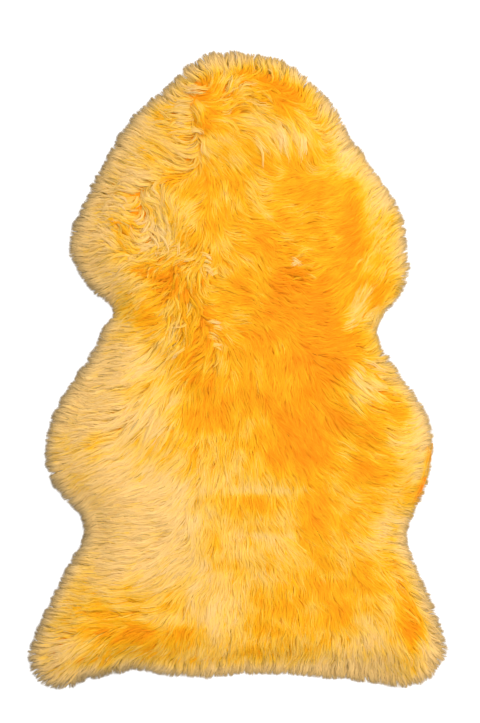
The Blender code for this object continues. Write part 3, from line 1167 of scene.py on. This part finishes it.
@dataclass(frozen=True)
class Layer:
    """One layer of locks: where it lies in the pile, how long it is and how finely it is drawn.

    spacing, sink and the insets are in metres. tier is the share of the pile's height that the
    layer lies at, backstep the share of its length that a lock starts behind its place, and the
    other shares are factors on the coat's own sizes.
    """

    name: str
    strands: int
    rings: int
    spacing: float = 0.0
    tier: float = 1.0
    backstep: float = 0.0
    length_share: float = 1.0
    spread_share: float = 1.0
    width_share: float = 1.0
    # Painted shade: lower tiers are darkened in colour, standing for the shade that the locks above
    # cast on them.
    brightness: float = 0.97
    pale_shift: float = 0.0
    sink: float = 0.0
    least_inset: float = -0.016
    most_inset: float = 1.0
    rim_turn: float = 0.30


@dataclass
class LockPlanner:
    """Marches guide lines over the fleece along the comb's field."""

    plan: PeltPlan
    comb: Comb
    step: float = 0.0025
    guide_points: int = 9
    length_range: tuple[float, float] = (0.75, 1.12)
    curl_spread: float = 0.7
    curl_turn: float = 0.3
    hang_reach: float = 0.0351
    ragged: float = 0.0026
    shortest: float = 0.012
    full_pile: float = 0.030
    floor_clearance: float = 0.0009
    root_share: float = 0.45
    level_range: tuple[float, float] = (-0.75, 0.25)
    rise_spread: float = 0.8
    tuft_turn: float = 0.10
    tuft_bends: tuple[float, float] = (0.8, 1.2)
    tuft_lengths: tuple[float, float] = (0.8, 1.1)
    tuft_stagger: float = 0.08
    ragged_noise: SmoothNoise = field(default_factory=lambda: SmoothNoise(size=0.011, seed=31))

    def march(self, layer: Layer, seed: int) -> Locks:
        """Lay the locks of one layer.

        Args:
            layer: the layer to lay.
            seed: seed of the locks' own variation.

        Returns:
            The locks, without those that would be too short.
        """
        draw = np.random.default_rng(seed)
        roots = self.plan.scattered(layer.spacing, layer.least_inset, seed + 1)
        roots = roots[self.plan.read(self.plan.inset, roots) < layer.most_inset]
        count = len(roots)
        habit = self.comb.habits(roots)
        headings = self.comb.headings(roots, habit.swirl, layer.rim_turn)
        lengths = layer.length_share * habit.length * draw.uniform(*self.length_range, count)
        strays = habit.stray * draw.normal(0.0, 1.0, count)
        curls = habit.curl * draw.normal(0.0, self.curl_spread, count)
        place = roots - (layer.backstep * lengths)[:, None] * along_way(headings)
        track = [place]
        for index in range(math.ceil(lengths.max() / self.step) + 1):
            share = index * self.step / lengths
            angle = self.comb.headings(place, habit.swirl, layer.rim_turn)
            angle = angle + strays + curls * (share - self.curl_turn)
            place = place + self.step * along_way(angle)
            track.append(place)
        track = np.stack(track, axis=1)
        lengths = np.minimum(lengths, self._room(track))
        keep = lengths > self.shortest
        cells = lengths[keep, None] * np.linspace(0.0, 1.0, self.guide_points) / self.step
        points = read_lines(track, np.flatnonzero(keep), cells)
        shifts = np.full(len(points), layer.pale_shift)
        return self._raised(Locks(points, lengths[keep], picked(habit, keep), shifts), layer, draw)

    def tufts(self, layer: Layer, seed: int) -> Locks:
        """Lay the locks of the tufts that stand out of the coat.

        Args:
            layer: the layer that the tufts are drawn as.
            seed: seed of the locks' own variation.

        Returns:
            The locks of all tufts.
        """
        draw = np.random.default_rng(seed)
        tufts = [tuft for tuft in TUFTS for _ in range(tuft.locks)]
        count = len(tufts)
        side_share = np.concatenate([np.linspace(-0.5, 0.5, tuft.locks) for tuft in TUFTS])
        heading = np.radians([tuft.heading for tuft in tufts]) + draw.normal(0.0, self.tuft_turn, count)
        bend = np.radians([tuft.bend for tuft in tufts]) * draw.uniform(*self.tuft_bends, count)
        lengths = MILLIMETRE * np.array([tuft.length for tuft in tufts])
        lengths = lengths * draw.uniform(*self.tuft_lengths, count)
        sideways = MILLIMETRE * np.array([tuft.width for tuft in tufts]) * side_share
        stagger = self.tuft_stagger * draw.normal(0.0, 1.0, count) * lengths
        place = MILLIMETRE * np.array([(tuft.x, tuft.y) for tuft in tufts])
        place = place + sideways[:, None] * along_way(heading + 0.5 * math.pi)
        place = place + stagger[:, None] * along_way(heading)
        steps = self.guide_points - 1
        track = [place]
        for index in range(steps):
            way = along_way(heading + bend * ((index + 0.5) / steps))
            place = place + (lengths / steps)[:, None] * way
            track.append(place)
        points = np.stack(track, axis=1)
        shifts = np.array([tuft.shift for tuft in tufts])
        habit = self.comb.habits(points[:, 0])
        return self._raised(Locks(points, lengths, habit, shifts), layer, draw)

    def _room(self, track: Array) -> Array:
        """Measure the tracks before they run past the wool's outline.

        Args:
            track: points of each track on the floor plan.

        Returns:
            The length of each track up to the outline.
        """
        limit = -self.hang_reach + self.ragged * self.ragged_noise.at(track)
        for rim in RIM_SHIFTS:
            off = track - MILLIMETRE * np.array([rim.x, rim.y])
            near = np.sum(off * off, axis=-1) / (MILLIMETRE * rim.radius) ** 2
            limit = limit - rim.shift * np.exp(-near)
        outside = self.plan.read(self.plan.inset, track) < limit
        first = np.where(outside.any(axis=1), outside.argmax(axis=1), track.shape[1])
        return first * self.step

    def _raised(self, locks: Locks, layer: Layer, draw: np.random.Generator) -> Locks:
        """Give flat locks their heights: up out of the pile, over it and down at the rim.

        Args:
            locks: locks with their guides on the floor plan.
            layer: the layer that they are of.
            draw: the source of their own variation.

        Returns:
            The same locks with guides in space.
        """
        habit, column = locks.habit, (len(locks.guides), 1)
        shares = np.linspace(0.0, 1.0, self.guide_points)[None, :]
        canopy = self.plan.read(self.plan.height, locks.guides)
        room = np.clip(canopy / self.full_pile, 0.0, 1.0)
        sunk = habit.root_depth[:, None] * (1.0 - smooth_step(0.0, self.root_share, shares))
        lifts = habit.lift[:, None]
        low = habit.layering[:, None] * draw.uniform(*self.level_range, column) - layer.sink
        rise = habit.tip_rise[:, None] + lifts * draw.normal(0.0, self.rise_spread, column)
        arch = lifts * draw.uniform(0.0, 1.0, column) * np.sin(math.pi * shares)
        heights = layer.tier * canopy + room * (low - sunk + rise * shares ** 2 + arch)
        heights = np.maximum(heights, self.floor_clearance)
        guides = np.concatenate([locks.guides, heights[..., None]], axis=-1)
        return Locks(guides, locks.lengths, habit, locks.pale_shift)


@dataclass
class Strands:
    """Strands of wool, one row each.

    points run from root to tip, and flat is half the ribbon's width, sideways. facing is where the
    ribbon faces, and the tones are numbers for the finish.
    """

    points: Array
    flat: Array
    facing: Array
    along: Array
    pale: Array
    rim: Array
    shade: Array

    def triangles(self) -> Array:
        """How many triangles each strand's ribbon has."""
        return np.full(len(self.points), 2 * self.points.shape[1] - 3)


@dataclass
class StrandWeaver:
    """Grows strands round the guides and writes them as ribbons."""

    plan: PeltPlan
    dye: Dye
    width: float = 0.00115
    width_range: tuple[float, float] = (0.65, 1.35)
    tip_width: float = 0.30
    least_length: float = 0.76
    rim_evenness: float = 0.16
    look_along: float = 0.04
    spread_power: float = 0.8
    flatness: float = 0.55
    lowest: float = 0.0006
    wave_length: tuple[float, float] = (0.018, 0.034)
    wave_difference: float = 0.5
    root_sway: float = 0.25
    clump_start: float = 0.020
    clump_full: float = -0.020
    clump: float = 0.20
    calm: float = 0.50
    full_bulge: float = 0.66
    roll: float = 0.34
    most_roll: float = 0.62
    most_slope: float = 0.45
    smoothing: float = 0.65
    # Painted shade at the rim, partly the tips' own tan: it grows from rim_start to rim_full, is full
    # on the left, away from the key light, and falls to rim_least on the lit right; the two x values
    # below set where it changes.
    rim_start: float = -0.012
    rim_full: float = -0.040
    rim_least: float = 0.22
    lit_side_x: float = 0.05
    far_side_shade_x: float = -0.20
    # A thin line of painted shade along the outermost edge, mostly on the lit right.
    line_start: float = -0.028
    line_full: float = -0.037
    line_share: float = 0.55
    rim_pale: float = 0.28
    strand_pale: float = 0.05
    # dim_least is the least far-side factor for the painted shade of lower tiers and for the painted
    # shadow of some strands.
    dim_least: float = 0.85
    plain_contrast: float = 0.11
    rim_contrast: float = 0.45
    shadowed_share: float = 0.015
    shadowed_share_at_rim: float = 0.13
    shadowed_shade: float = 0.58
    tones: tuple[str, ...] = ("along", "pale", "rim", "shade")
    uv_columns: int = 256
    uv_side: float = 0.15
    uv_foot: float = 0.08

    def strands(self, locks: Locks, layer: Layer, seed: int) -> Strands:
        """Grow the strands of one layer of locks.

        Args:
            locks: the locks' guides and habits.
            layer: the layer that the locks are of.
            seed: seed of the strands' own variation.

        Returns:
            The strands.
        """
        draw = np.random.default_rng(seed)
        owner = np.repeat(np.arange(len(locks.guides)), layer.strands)
        column = (len(owner), 1)
        middle = locks.guides[:, locks.guides.shape[1] // 2, :2]
        inset = self.plan.read(self.plan.inset, middle)
        rimward = 1.0 - smooth_step(self.clump_full, self.clump_start, inset)[owner][:, None]
        least = self.least_length + self.rim_evenness * rimward
        shares = np.linspace(0.0, 1.0, layer.rings)[None, :] * draw.uniform(least, 1.0)
        spine, side, up = self._course(locks.guides, owner, shares)
        radius = np.sqrt(draw.uniform(0.0, 1.0, column))
        angle = draw.uniform(0.0, 2.0 * math.pi, column)
        habit = picked(locks.habit, owner)
        ramp = shares ** self.spread_power
        spread = habit.root_spread[:, None] * (1.0 - ramp) + habit.tip_spread[:, None] * ramp
        spread = layer.spread_share * spread * (1.0 - self.clump * rimward * shares)
        sway = habit.wave[:, None] * self._waves(locks, owner, shares, draw)
        bulge = habit.bulge[:, None]
        unrest = self.calm + (1.0 - self.calm) * bulge / self.full_bulge
        across = radius * np.cos(angle) * spread + sway
        above = self.flatness * unrest * radius * np.sin(angle) * spread
        points = spine + across[..., None] * side + above[..., None] * up
        points[..., 2] = np.maximum(points[..., 2], self.lowest)
        turn = (self.roll * unrest * draw.normal(0.0, 1.0, column))[..., None]
        turn = np.clip(turn, -self.most_roll, self.most_roll)
        facing = np.cos(turn) * up - np.sin(turn) * side
        facing = self.smoothing * self._canopy_normals(points) + (1.0 - self.smoothing) * facing
        facing = unit(facing + (bulge * radius * np.cos(angle))[..., None] * side)
        thick = layer.width_share * self.width * draw.uniform(*self.width_range, column)
        taper = 1.0 - (1.0 - self.tip_width) * np.linspace(0.0, 1.0, layer.rings)[None, :] ** 2
        flat = (np.cos(turn) * side + np.sin(turn) * up) * (0.5 * thick * taper)[..., None]
        tones = self._tones(points, locks, layer, owner, rimward, draw)
        return Strands(points, flat, facing, shares, *tones)

    def _course(self, guides: Array, owner: Array,
                shares: Array) -> tuple[Array, Array, Array]:
        """Follow the guides.

        Args:
            guides: the locks' guides.
            owner: the lock of each strand.
            shares: shares of the guides' length, one row for each strand.

        Returns:
            The points there, and the directions sideways and up from them.
        """
        last = guides.shape[1] - 1
        ahead = read_lines(guides, owner, last * np.minimum(shares + self.look_along, 1.0))
        behind = read_lines(guides, owner, last * np.maximum(shares - self.look_along, 0.0))
        way = unit(ahead - behind)
        side = unit(np.stack([-way[..., 1], way[..., 0], np.zeros_like(way[..., 0])], axis=-1))
        return read_lines(guides, owner, last * shares), side, np.cross(way, side)

    def _waves(self, locks: Locks, owner: Array, shares: Array,
               draw: np.random.Generator) -> Array:
        """The crimp along each strand, nearly shared within a lock.

        Args:
            locks: the locks.
            owner: the lock of each strand.
            shares: shares of the guides' length, one row for each strand.
            draw: the source of the strands' own variation.

        Returns:
            How far each point sways, about from -1 to 1, and least at the root.
        """
        count = len(locks.guides)
        waves = locks.lengths / draw.uniform(*self.wave_length, count)
        starts = draw.uniform(0.0, 2.0 * math.pi, count)
        own = draw.normal(0.0, self.wave_difference, (len(owner), 1))
        phase = 2.0 * math.pi * waves[owner][:, None] * shares + starts[owner][:, None] + own
        return np.sin(phase) * (self.root_sway + shares)

    def _canopy_normals(self, points: Array) -> Array:
        """Find the fleece's smooth top below or above each point.

        Args:
            points: points in space.

        Returns:
            The top's normal at each point.
        """
        slope = self.plan.read(self.plan.slope, points[..., :2])
        steepness = np.linalg.norm(slope, axis=-1, keepdims=True)
        slope = slope * np.minimum(1.0, self.most_slope / np.maximum(steepness, SMALLEST_LENGTH))
        return unit(np.concatenate([-slope, np.ones((*points.shape[:2], 1))], axis=-1))

    def _tones(self, points: Array, locks: Locks, layer: Layer, owner: Array,
               rimward: Array, draw: np.random.Generator) -> tuple[Array, ...]:
        """Tone the strands: bleached at the rim, greyed and darkened there by painted shade that is
        strongest on the left, away from the key light, lower tiers dimmed by painted shade, and some
        strands darkened by painted shadow.

        Args:
            points: the strands' points.
            locks: the locks that they are of.
            layer: the layer that the locks are of.
            owner: the lock of each strand.
            rimward: how near each strand is to the rim, from 0 to 1.
            draw: the source of the strands' own variation.

        Returns:
            The pale, rim and shade tones of each point.
        """
        column = (len(owner), 1)
        inset = self.plan.read(self.plan.inset, points[..., :2])
        # Painted shade: this factor is full on the left, away from the key light, and least on the lit
        # right.
        far_side_shade = smooth_step(self.lit_side_x, self.far_side_shade_x, points[..., 0])
        far_side_shade = self.rim_least + (1.0 - self.rim_least) * far_side_shade
        outer = 1.0 - smooth_step(self.rim_full, self.rim_start, inset)
        # A thin painted shade line at the outermost edge, strongest on the lit right.
        edge_shade_line = 1.0 - smooth_step(self.line_full, self.line_start, inset)
        rim = far_side_shade * outer + self.line_share * (1.0 - far_side_shade) * edge_shade_line
        lock_pale = locks.pale_shift + locks.habit.fleck * draw.normal(0.0, 1.0, len(locks.guides))
        pale = self.dye.paleness(points[..., :2], self.rim_pale * outer) + lock_pale[owner][:, None]
        pale = np.clip(pale + draw.normal(0.0, self.strand_pale, column), 0.0, 1.0)
        contrast = self.plain_contrast + self.rim_contrast * rim
        # Painted shade: lower tiers darker, as if shaded by the locks above, more on the left.
        painted_dimness = (1.0 - layer.brightness) * np.maximum(far_side_shade, self.dim_least)
        shade = (1.0 - painted_dimness) * (1.0 + contrast * draw.uniform(-0.5, 0.5, column))
        # Painted shadow: a few strands much darker, like shade between locks, more often near the rim
        # and on the left.
        far_side_factor = np.maximum(far_side_shade[:, :1], self.dim_least)
        share = self.shadowed_share_at_rim * rimward * far_side_factor + self.shadowed_share
        shadowed = draw.uniform(0.0, 1.0, column) < share * locks.habit.bulge[owner][:, None]
        return pale, rim, np.where(shadowed, self.shadowed_shade * shade, shade)

    def ribbons(self, name: str, groups: list[Strands]) -> bpy.types.Object:
        """Write strands as one mesh of tapered ribbons.

        Args:
            name: the piece's name.
            groups: the strands of each layer.

        Returns:
            The new object.
        """
        total = sum(len(group.points) for group in groups)
        verts, normals, loops, sizes, uvs = [], [], [], [], []
        first_vertex = first_cell = 0
        for group in groups:
            points, flat = group.points, group.flat
            count, body = points.shape[0], points.shape[1] - 1
            corners = np.stack([points - flat, points + flat], axis=2)[:, :body]
            corners = np.concatenate([corners.reshape(count, -1, 3), points[:, -1:]], axis=1)
            base = first_vertex + (corners.shape[1] * np.arange(count))[:, None, None]
            low = 2 * np.arange(body - 1)
            quads = np.stack([low, low + 2, low + 3, low + 1], axis=-1)[None] + base
            tip = np.array([[2 * body - 2, 2 * body, 2 * body - 1]])[None] + base
            strip = np.concatenate([quads.reshape(count, -1), tip.reshape(count, -1)], axis=1)
            verts.append(corners.reshape(-1, 3))
            normals.append(self._doubled(group.facing).reshape(-1, 3))
            loops.append(strip.ravel())
            sizes.append(np.tile([4] * (body - 1) + [3], count))
            uvs.append(self._cells(first_cell, count, body, total))
            first_vertex += len(verts[-1])
            first_cell += count
        corner_verts = np.concatenate(loops)
        mesh = self._mesh(name, np.concatenate(verts), corner_verts, np.concatenate(sizes))
        for tone in self.tones:
            numbers = [self._doubled(getattr(group, tone)).ravel() for group in groups]
            layer = mesh.attributes.new(tone, "FLOAT", "POINT")
            layer.data.foreach_set("value", np.concatenate(numbers).astype(np.float32))
        places = np.concatenate(uvs)[corner_verts]
        mesh.uv_layers.new(name="OFBake").uv.foreach_set("vector", places.astype(np.float32).ravel())
        mesh.shade_smooth()
        mesh.normals_split_custom_set_from_vertices(np.concatenate(normals))
        return placed(name, mesh)

    @staticmethod
    def _doubled(values: Array) -> Array:
        """The strands' values for their ribbons' two sides, and once for each tip."""
        return np.concatenate([np.repeat(values[:, :-1], 2, axis=1), values[:, -1:]], axis=1)

    @staticmethod
    def _mesh(name: str, verts: Array, loops: Array, sizes: Array) -> bpy.types.Mesh:
        """Write a mesh.

        Args:
            name: the mesh's name.
            verts: its points.
            loops: the point of each corner, face by face.
            sizes: how many corners each face has.

        Returns:
            The new mesh.
        """
        mesh = bpy.data.meshes.new(name)
        mesh.vertices.add(len(verts))
        mesh.vertices.foreach_set("co", verts.astype(np.float32).ravel())
        mesh.loops.add(len(loops))
        mesh.loops.foreach_set("vertex_index", loops.astype(np.int32))
        mesh.polygons.add(len(sizes))
        starts = np.concatenate([[0], np.cumsum(sizes)[:-1]])
        mesh.polygons.foreach_set("loop_start", starts.astype(np.int32))
        mesh.update(calc_edges=True)
        return mesh

    def _cells(self, first: int, count: int, body: int, total: int) -> Array:
        """Give every strand its own small cell of the bake map.

        Args:
            first: the cell of the first strand.
            count: how many strands there are.
            body: how many points of a strand have two sides.
            total: how many cells the map has.

        Returns:
            The map's place of each point of the ribbons.
        """
        rows = math.ceil(total / self.uv_columns)
        strand = first + np.arange(count)[:, None]
        across = np.concatenate([np.tile([self.uv_side, 1.0 - self.uv_side], body), [0.5]])[None, :]
        height = np.concatenate([np.repeat(np.arange(body), 2), [body]])[None, :] / body
        height = self.uv_foot + (1.0 - 2.0 * self.uv_foot) * height
        u = (strand % self.uv_columns + across) / self.uv_columns
        v = (strand // self.uv_columns + height) / rows
        return np.stack([u, v], axis=-1).reshape(-1, 2)


def fill_cap(mesh: bmesh.types.BMesh, rim: list[bmesh.types.BMVert], inner: Array,
             height_of: Heights) -> None:
    """Fill a ring of points with triangles.

    Args:
        mesh: the mesh that the ring is in.
        rim: the ring's points, in order.
        inner: places inside the ring.
        height_of: a function from places to heights.
    """
    points = [Vector(vert.co.xy) for vert in rim] + [Vector(place) for place in inner]
    border = [(i, (i + 1) % len(rim)) for i in range(len(rim))]
    filled = delaunay_2d_cdt(points, border, [], FILL_INSIDE, SAME_PLACE)
    heights = height_of(np.array([point[:] for point in filled[0]]))
    corners = []
    for point, height, origins in zip(filled[0], heights, filled[3]):
        known = [origin for origin in origins if origin < len(rim)]
        corners.append(rim[known[0]] if known else mesh.verts.new((point.x, point.y, height)))
    for triangle in filled[2]:
        mesh.faces.new([corners[index] for index in triangle])


def piece_from_rings(name: str, rings: list[Array], caps: tuple[Array, Array],
                     cap_heights: tuple[Heights, Heights]) -> bpy.types.Object:
    """A closed slab: rings of points from its bottom edge to its top edge, and two filled caps.

    Args:
        name: the piece's name.
        rings: arrays of 3D points, all of one length, bottom first.
        caps: places inside the bottom ring and inside the top ring.
        cap_heights: for each cap, a function from places to heights.

    Returns:
        The new object.
    """
    mesh = bmesh.new()
    loops = [[mesh.verts.new(point) for point in ring] for ring in rings]
    for lower, upper in zip(loops, loops[1:]):
        for i in range(len(lower)):
            j = (i + 1) % len(lower)
            mesh.faces.new((lower[i], lower[j], upper[j], upper[i]))
    for rim, inner, height_of in zip((loops[0], loops[-1]), caps, cap_heights):
        fill_cap(mesh, rim, inner, height_of)
    bmesh.ops.recalc_face_normals(mesh, faces=mesh.faces)
    data = bpy.data.meshes.new(name)
    mesh.to_mesh(data)
    mesh.free()
    data.shade_smooth()
    return placed(name, data)


@dataclass
class Hide:
    """The tanned skin under the wool, with a knife-cut edge."""

    plan: PeltPlan
    edge_step: float = 0.004
    spacing: float = 0.013
    edge_gap: float = 0.6
    inner_seed: int = 42
    thickness: float = 0.0019
    edge_round: float = 0.0006
    edge_wobble: float = 0.0005
    lowest: float = 0.0001
    dimple: float = 0.00025
    wobbles: SmoothNoise = field(default_factory=lambda: SmoothNoise(size=0.012, seed=41))
    hollows: SmoothNoise = field(default_factory=lambda: SmoothNoise(size=0.03, seed=43))
    finish: SuedeFinish = SuedeFinish()

    def build(self) -> bpy.types.Object:
        """Make the hide as one flat piece.

        Returns:
            The new piece.
        """
        ring = self.plan.ring(0.0, self.edge_step)
        wobble = self.wobbles.at(ring)[:, None] * self.edge_wobble
        ring = ring - (self.edge_wobble + wobble) * self.plan.read(self.plan.outward, ring)
        tucked = ring - self.edge_round * self.plan.read(self.plan.outward, ring)
        low, high = self.lowest, self.lowest + self.thickness
        levels = ((tucked, low), (ring, low + self.edge_round), (ring, high - self.edge_round),
                  (tucked, high))
        rings = [np.column_stack([places, np.full(len(places), z)]) for places, z in levels]
        inner = self.plan.scattered(self.spacing, self.edge_gap * self.spacing, self.inner_seed)
        made = piece_from_rings("hide_suede", rings, (inner, inner), (self._underside, level(high)))
        made.data.materials.append(self.finish.make())
        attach(made, BODY)
        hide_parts("hide")
        return made

    def _underside(self, places: Array) -> Array:
        """Height of the slightly dimpled flesh side."""
        return self.lowest + self.dimple * (1.0 + self.hollows.at(places)) * 0.5


@dataclass
class UnderWool:
    """The dense body of the fleece, below the locks that show."""

    plan: PeltPlan
    edge_step: float = 0.006
    spacing: float = 0.007
    edge_gap: float = 0.7
    top_seed: int = 51
    under_steps: float = 10.0
    under_seed: int = 52
    reach: float = 0.006
    height_share: float = 0.80
    bottom: float = 0.0024
    least_height: float = 0.0035
    finish: UnderWoolFinish = UnderWoolFinish()

    def build(self) -> bpy.types.Object:
        """Make the under wool as one closed body.

        Returns:
            The new piece.
        """
        ring = self.plan.ring(self.reach, self.edge_step)
        low = np.column_stack([ring, np.full(len(ring), self.bottom)])
        high = np.column_stack([ring, self._height(ring)])
        top = self.plan.scattered(self.spacing, self.edge_gap * self.spacing - self.reach,
                                  self.top_seed)
        under = self.plan.scattered(self.under_steps * self.spacing, 0.0, self.under_seed)
        made = piece_from_rings("under_wool", [low, high], (under, top),
                                (level(self.bottom), self._height))
        made.data.materials.append(self.finish.make())
        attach(made, BODY)
        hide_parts("fleece")
        return made

    def _height(self, places: Array) -> Array:
        """Height of the under wool's top at each place."""
        height = self.height_share * self.plan.read(self.plan.height, places)
        return np.maximum(height, self.least_height)


@dataclass
class Fleece:
    """The wool that shows: locks of fine strands, in five bands from the tail to the neck."""

    plan: PeltPlan
    layers: tuple[Layer, ...] = (
        Layer("top wool", strands=7, rings=6, spacing=0.0065, backstep=0.30, least_inset=-0.014),
        Layer("filling", strands=7, rings=4, spacing=0.0100, backstep=0.25, length_share=0.55,
              spread_share=2.1, width_share=1.8, pale_shift=-0.18, sink=0.0022, least_inset=-0.004),
        # The rim tiers are darkened by painted shade, standing for the shade under the locks above
        # them.
        Layer("rim middle", strands=7, rings=5, spacing=0.0082, tier=0.62, spread_share=1.3,
              brightness=0.80, most_inset=0.014, rim_turn=0.70),
        Layer("rim low", strands=7, rings=5, spacing=0.0088, tier=0.30, spread_share=1.4,
              brightness=0.62, most_inset=0.010, rim_turn=0.95),
    )
    tuft_layer: Layer = Layer("tufts", strands=8, rings=6, spread_share=0.8, sink=-0.0022)
    bands: tuple[str, ...] = ("tail", "hips", "belly", "shoulders", "neck")
    first_seed: int = 60
    seed_step: int = 10
    strand_seed: int = 5
    tuft_seed: int = 55
    finish: WoolFinish = WoolFinish()

    def build(self) -> list[bpy.types.Object]:
        """Grow the wool and write it as pieces.

        Returns:
            One piece for each band.
        """
        weaver = StrandWeaver(self.plan, Dye())
        grown = self._grown(weaver)
        cuts = self._cuts(grown)
        material = self.finish.make()
        pieces = []
        for index, band in enumerate(self.bands):
            groups = [picked(group, np.digitize(group.points[:, 0, 1], cuts) == index)
                      for group in grown]
            made = weaver.ribbons(f"wool_{band}", [group for group in groups if len(group.points)])
            made.data.materials.append(material)
            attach(made, BODY)
            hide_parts("fleece")
            pieces.append(made)
        return pieces

    def _grown(self, weaver: StrandWeaver) -> list[Strands]:
        """Lay the locks of every layer and grow their strands.

        Args:
            weaver: grows the strands.

        Returns:
            The strands of each layer, and last those of the tufts.
        """
        planner = LockPlanner(self.plan, Comb(self.plan))
        grown = []
        for index, layer in enumerate(self.layers):
            seed = self.first_seed + self.seed_step * index
            grown.append(weaver.strands(planner.march(layer, seed), layer, seed + self.strand_seed))
        tufts = planner.tufts(self.tuft_layer, self.tuft_seed)
        grown.append(weaver.strands(tufts, self.tuft_layer, self.tuft_seed + 1))
        return grown

    def _cuts(self, grown: list[Strands]) -> Array:
        """Share the triangles evenly among the bands.

        Args:
            grown: the strands of each layer.

        Returns:
            Where along the rug one band ends and the next begins.
        """
        along_rug = np.concatenate([group.points[:, 0, 1] for group in grown])
        order = np.argsort(along_rug)
        load = np.cumsum(np.concatenate([group.triangles() for group in grown])[order])
        shares = np.arange(1, len(self.bands)) / len(self.bands)
        return np.interp(shares, load / load[-1], along_rug[order])


@dataclass(frozen=True)
class Lamp:
    """A square area light that faces the middle of the rug."""

    name: str
    place: tuple[float, float, float]
    power: float
    size: float

    def build(self) -> None:
        """Make the light."""
        data = bpy.data.lights.new(self.name, "AREA")
        data.energy = self.power
        data.size = self.size
        light = placed(self.name, data)
        light.location = self.place
        light.rotation_euler = (-Vector(self.place)).to_track_quat("-Z", "Y").to_euler()


@dataclass
class Studio:
    """A pale floor, soft light from the upper right and a camera straight above the rug."""

    floor_size: float = 12.0
    floor_drop: float = 0.0002
    lens: float = 85.0
    sensor: float = 36.0
    world_strength: float = 0.555
    lamps: tuple[Lamp, ...] = (
        Lamp("key light", place=(1.7, 1.3, 2.3), power=52.0, size=1.6),
        Lamp("front light", place=(0.15, 0.2, 3.4), power=69.0, size=1.3),
    )
    finish: FloorFinish = FloorFinish()

    def build(self) -> None:
        """Make the floor, the lights and the camera."""
        self._floor()
        for lamp in self.lamps:
            lamp.build()
        world = bpy.data.worlds.new("studio world")
        world.use_nodes = True
        background = world.node_tree.nodes["Background"]
        background.inputs["Color"].default_value = (1.0, 1.0, 1.0, 1.0)
        background.inputs["Strength"].default_value = self.world_strength
        bpy.context.scene.world = world
        bpy.context.scene.view_settings.view_transform = "Standard"
        self._camera()

    def _floor(self) -> None:
        """A large flat floor just under the hide."""
        mesh = bmesh.new()
        bmesh.ops.create_grid(mesh, x_segments=1, y_segments=1, size=0.5 * self.floor_size)
        data = bpy.data.meshes.new("floor")
        mesh.to_mesh(data)
        mesh.free()
        floor = placed("floor", data)
        floor.location.z = -self.floor_drop
        floor.data.materials.append(self.finish.make())
        floor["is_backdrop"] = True

    def _camera(self) -> None:
        """A long lens straight above, framed as the photograph is."""
        data = bpy.data.cameras.new("camera")
        data.lens = self.lens
        data.sensor_width = self.sensor
        camera = placed("camera", data)
        off_x = (0.5 * PHOTO_WIDTH_PX - RUG_MIDDLE_PX[0]) * METRES_PER_PX
        off_y = (RUG_MIDDLE_PX[1] - 0.5 * PHOTO_HEIGHT_PX) * METRES_PER_PX
        height = PHOTO_HEIGHT_PX * METRES_PER_PX * self.lens / self.sensor
        camera.location = (off_x, off_y, height)
        bpy.context.scene.camera = camera


def report(piece: bpy.types.Object) -> None:
    """Log a piece's name and its number of triangles."""
    corners = len(piece.data.loops) - 2 * len(piece.data.polygons)
    LOG.info("%s: %d triangles", piece.name, corners)


def main() -> None:
    """Build the rug and its studio."""
    logging.basicConfig(level=logging.INFO, format="%(name)s %(message)s")
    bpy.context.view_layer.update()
    plan = PeltPlan()
    hide = Hide(plan).build()
    under_wool = UnderWool(plan).build()
    wool = Fleece(plan).build()
    for piece in (hide, under_wool, *wool):
        report(piece)
    Studio().build()


if __name__ == "__main__":
    main()
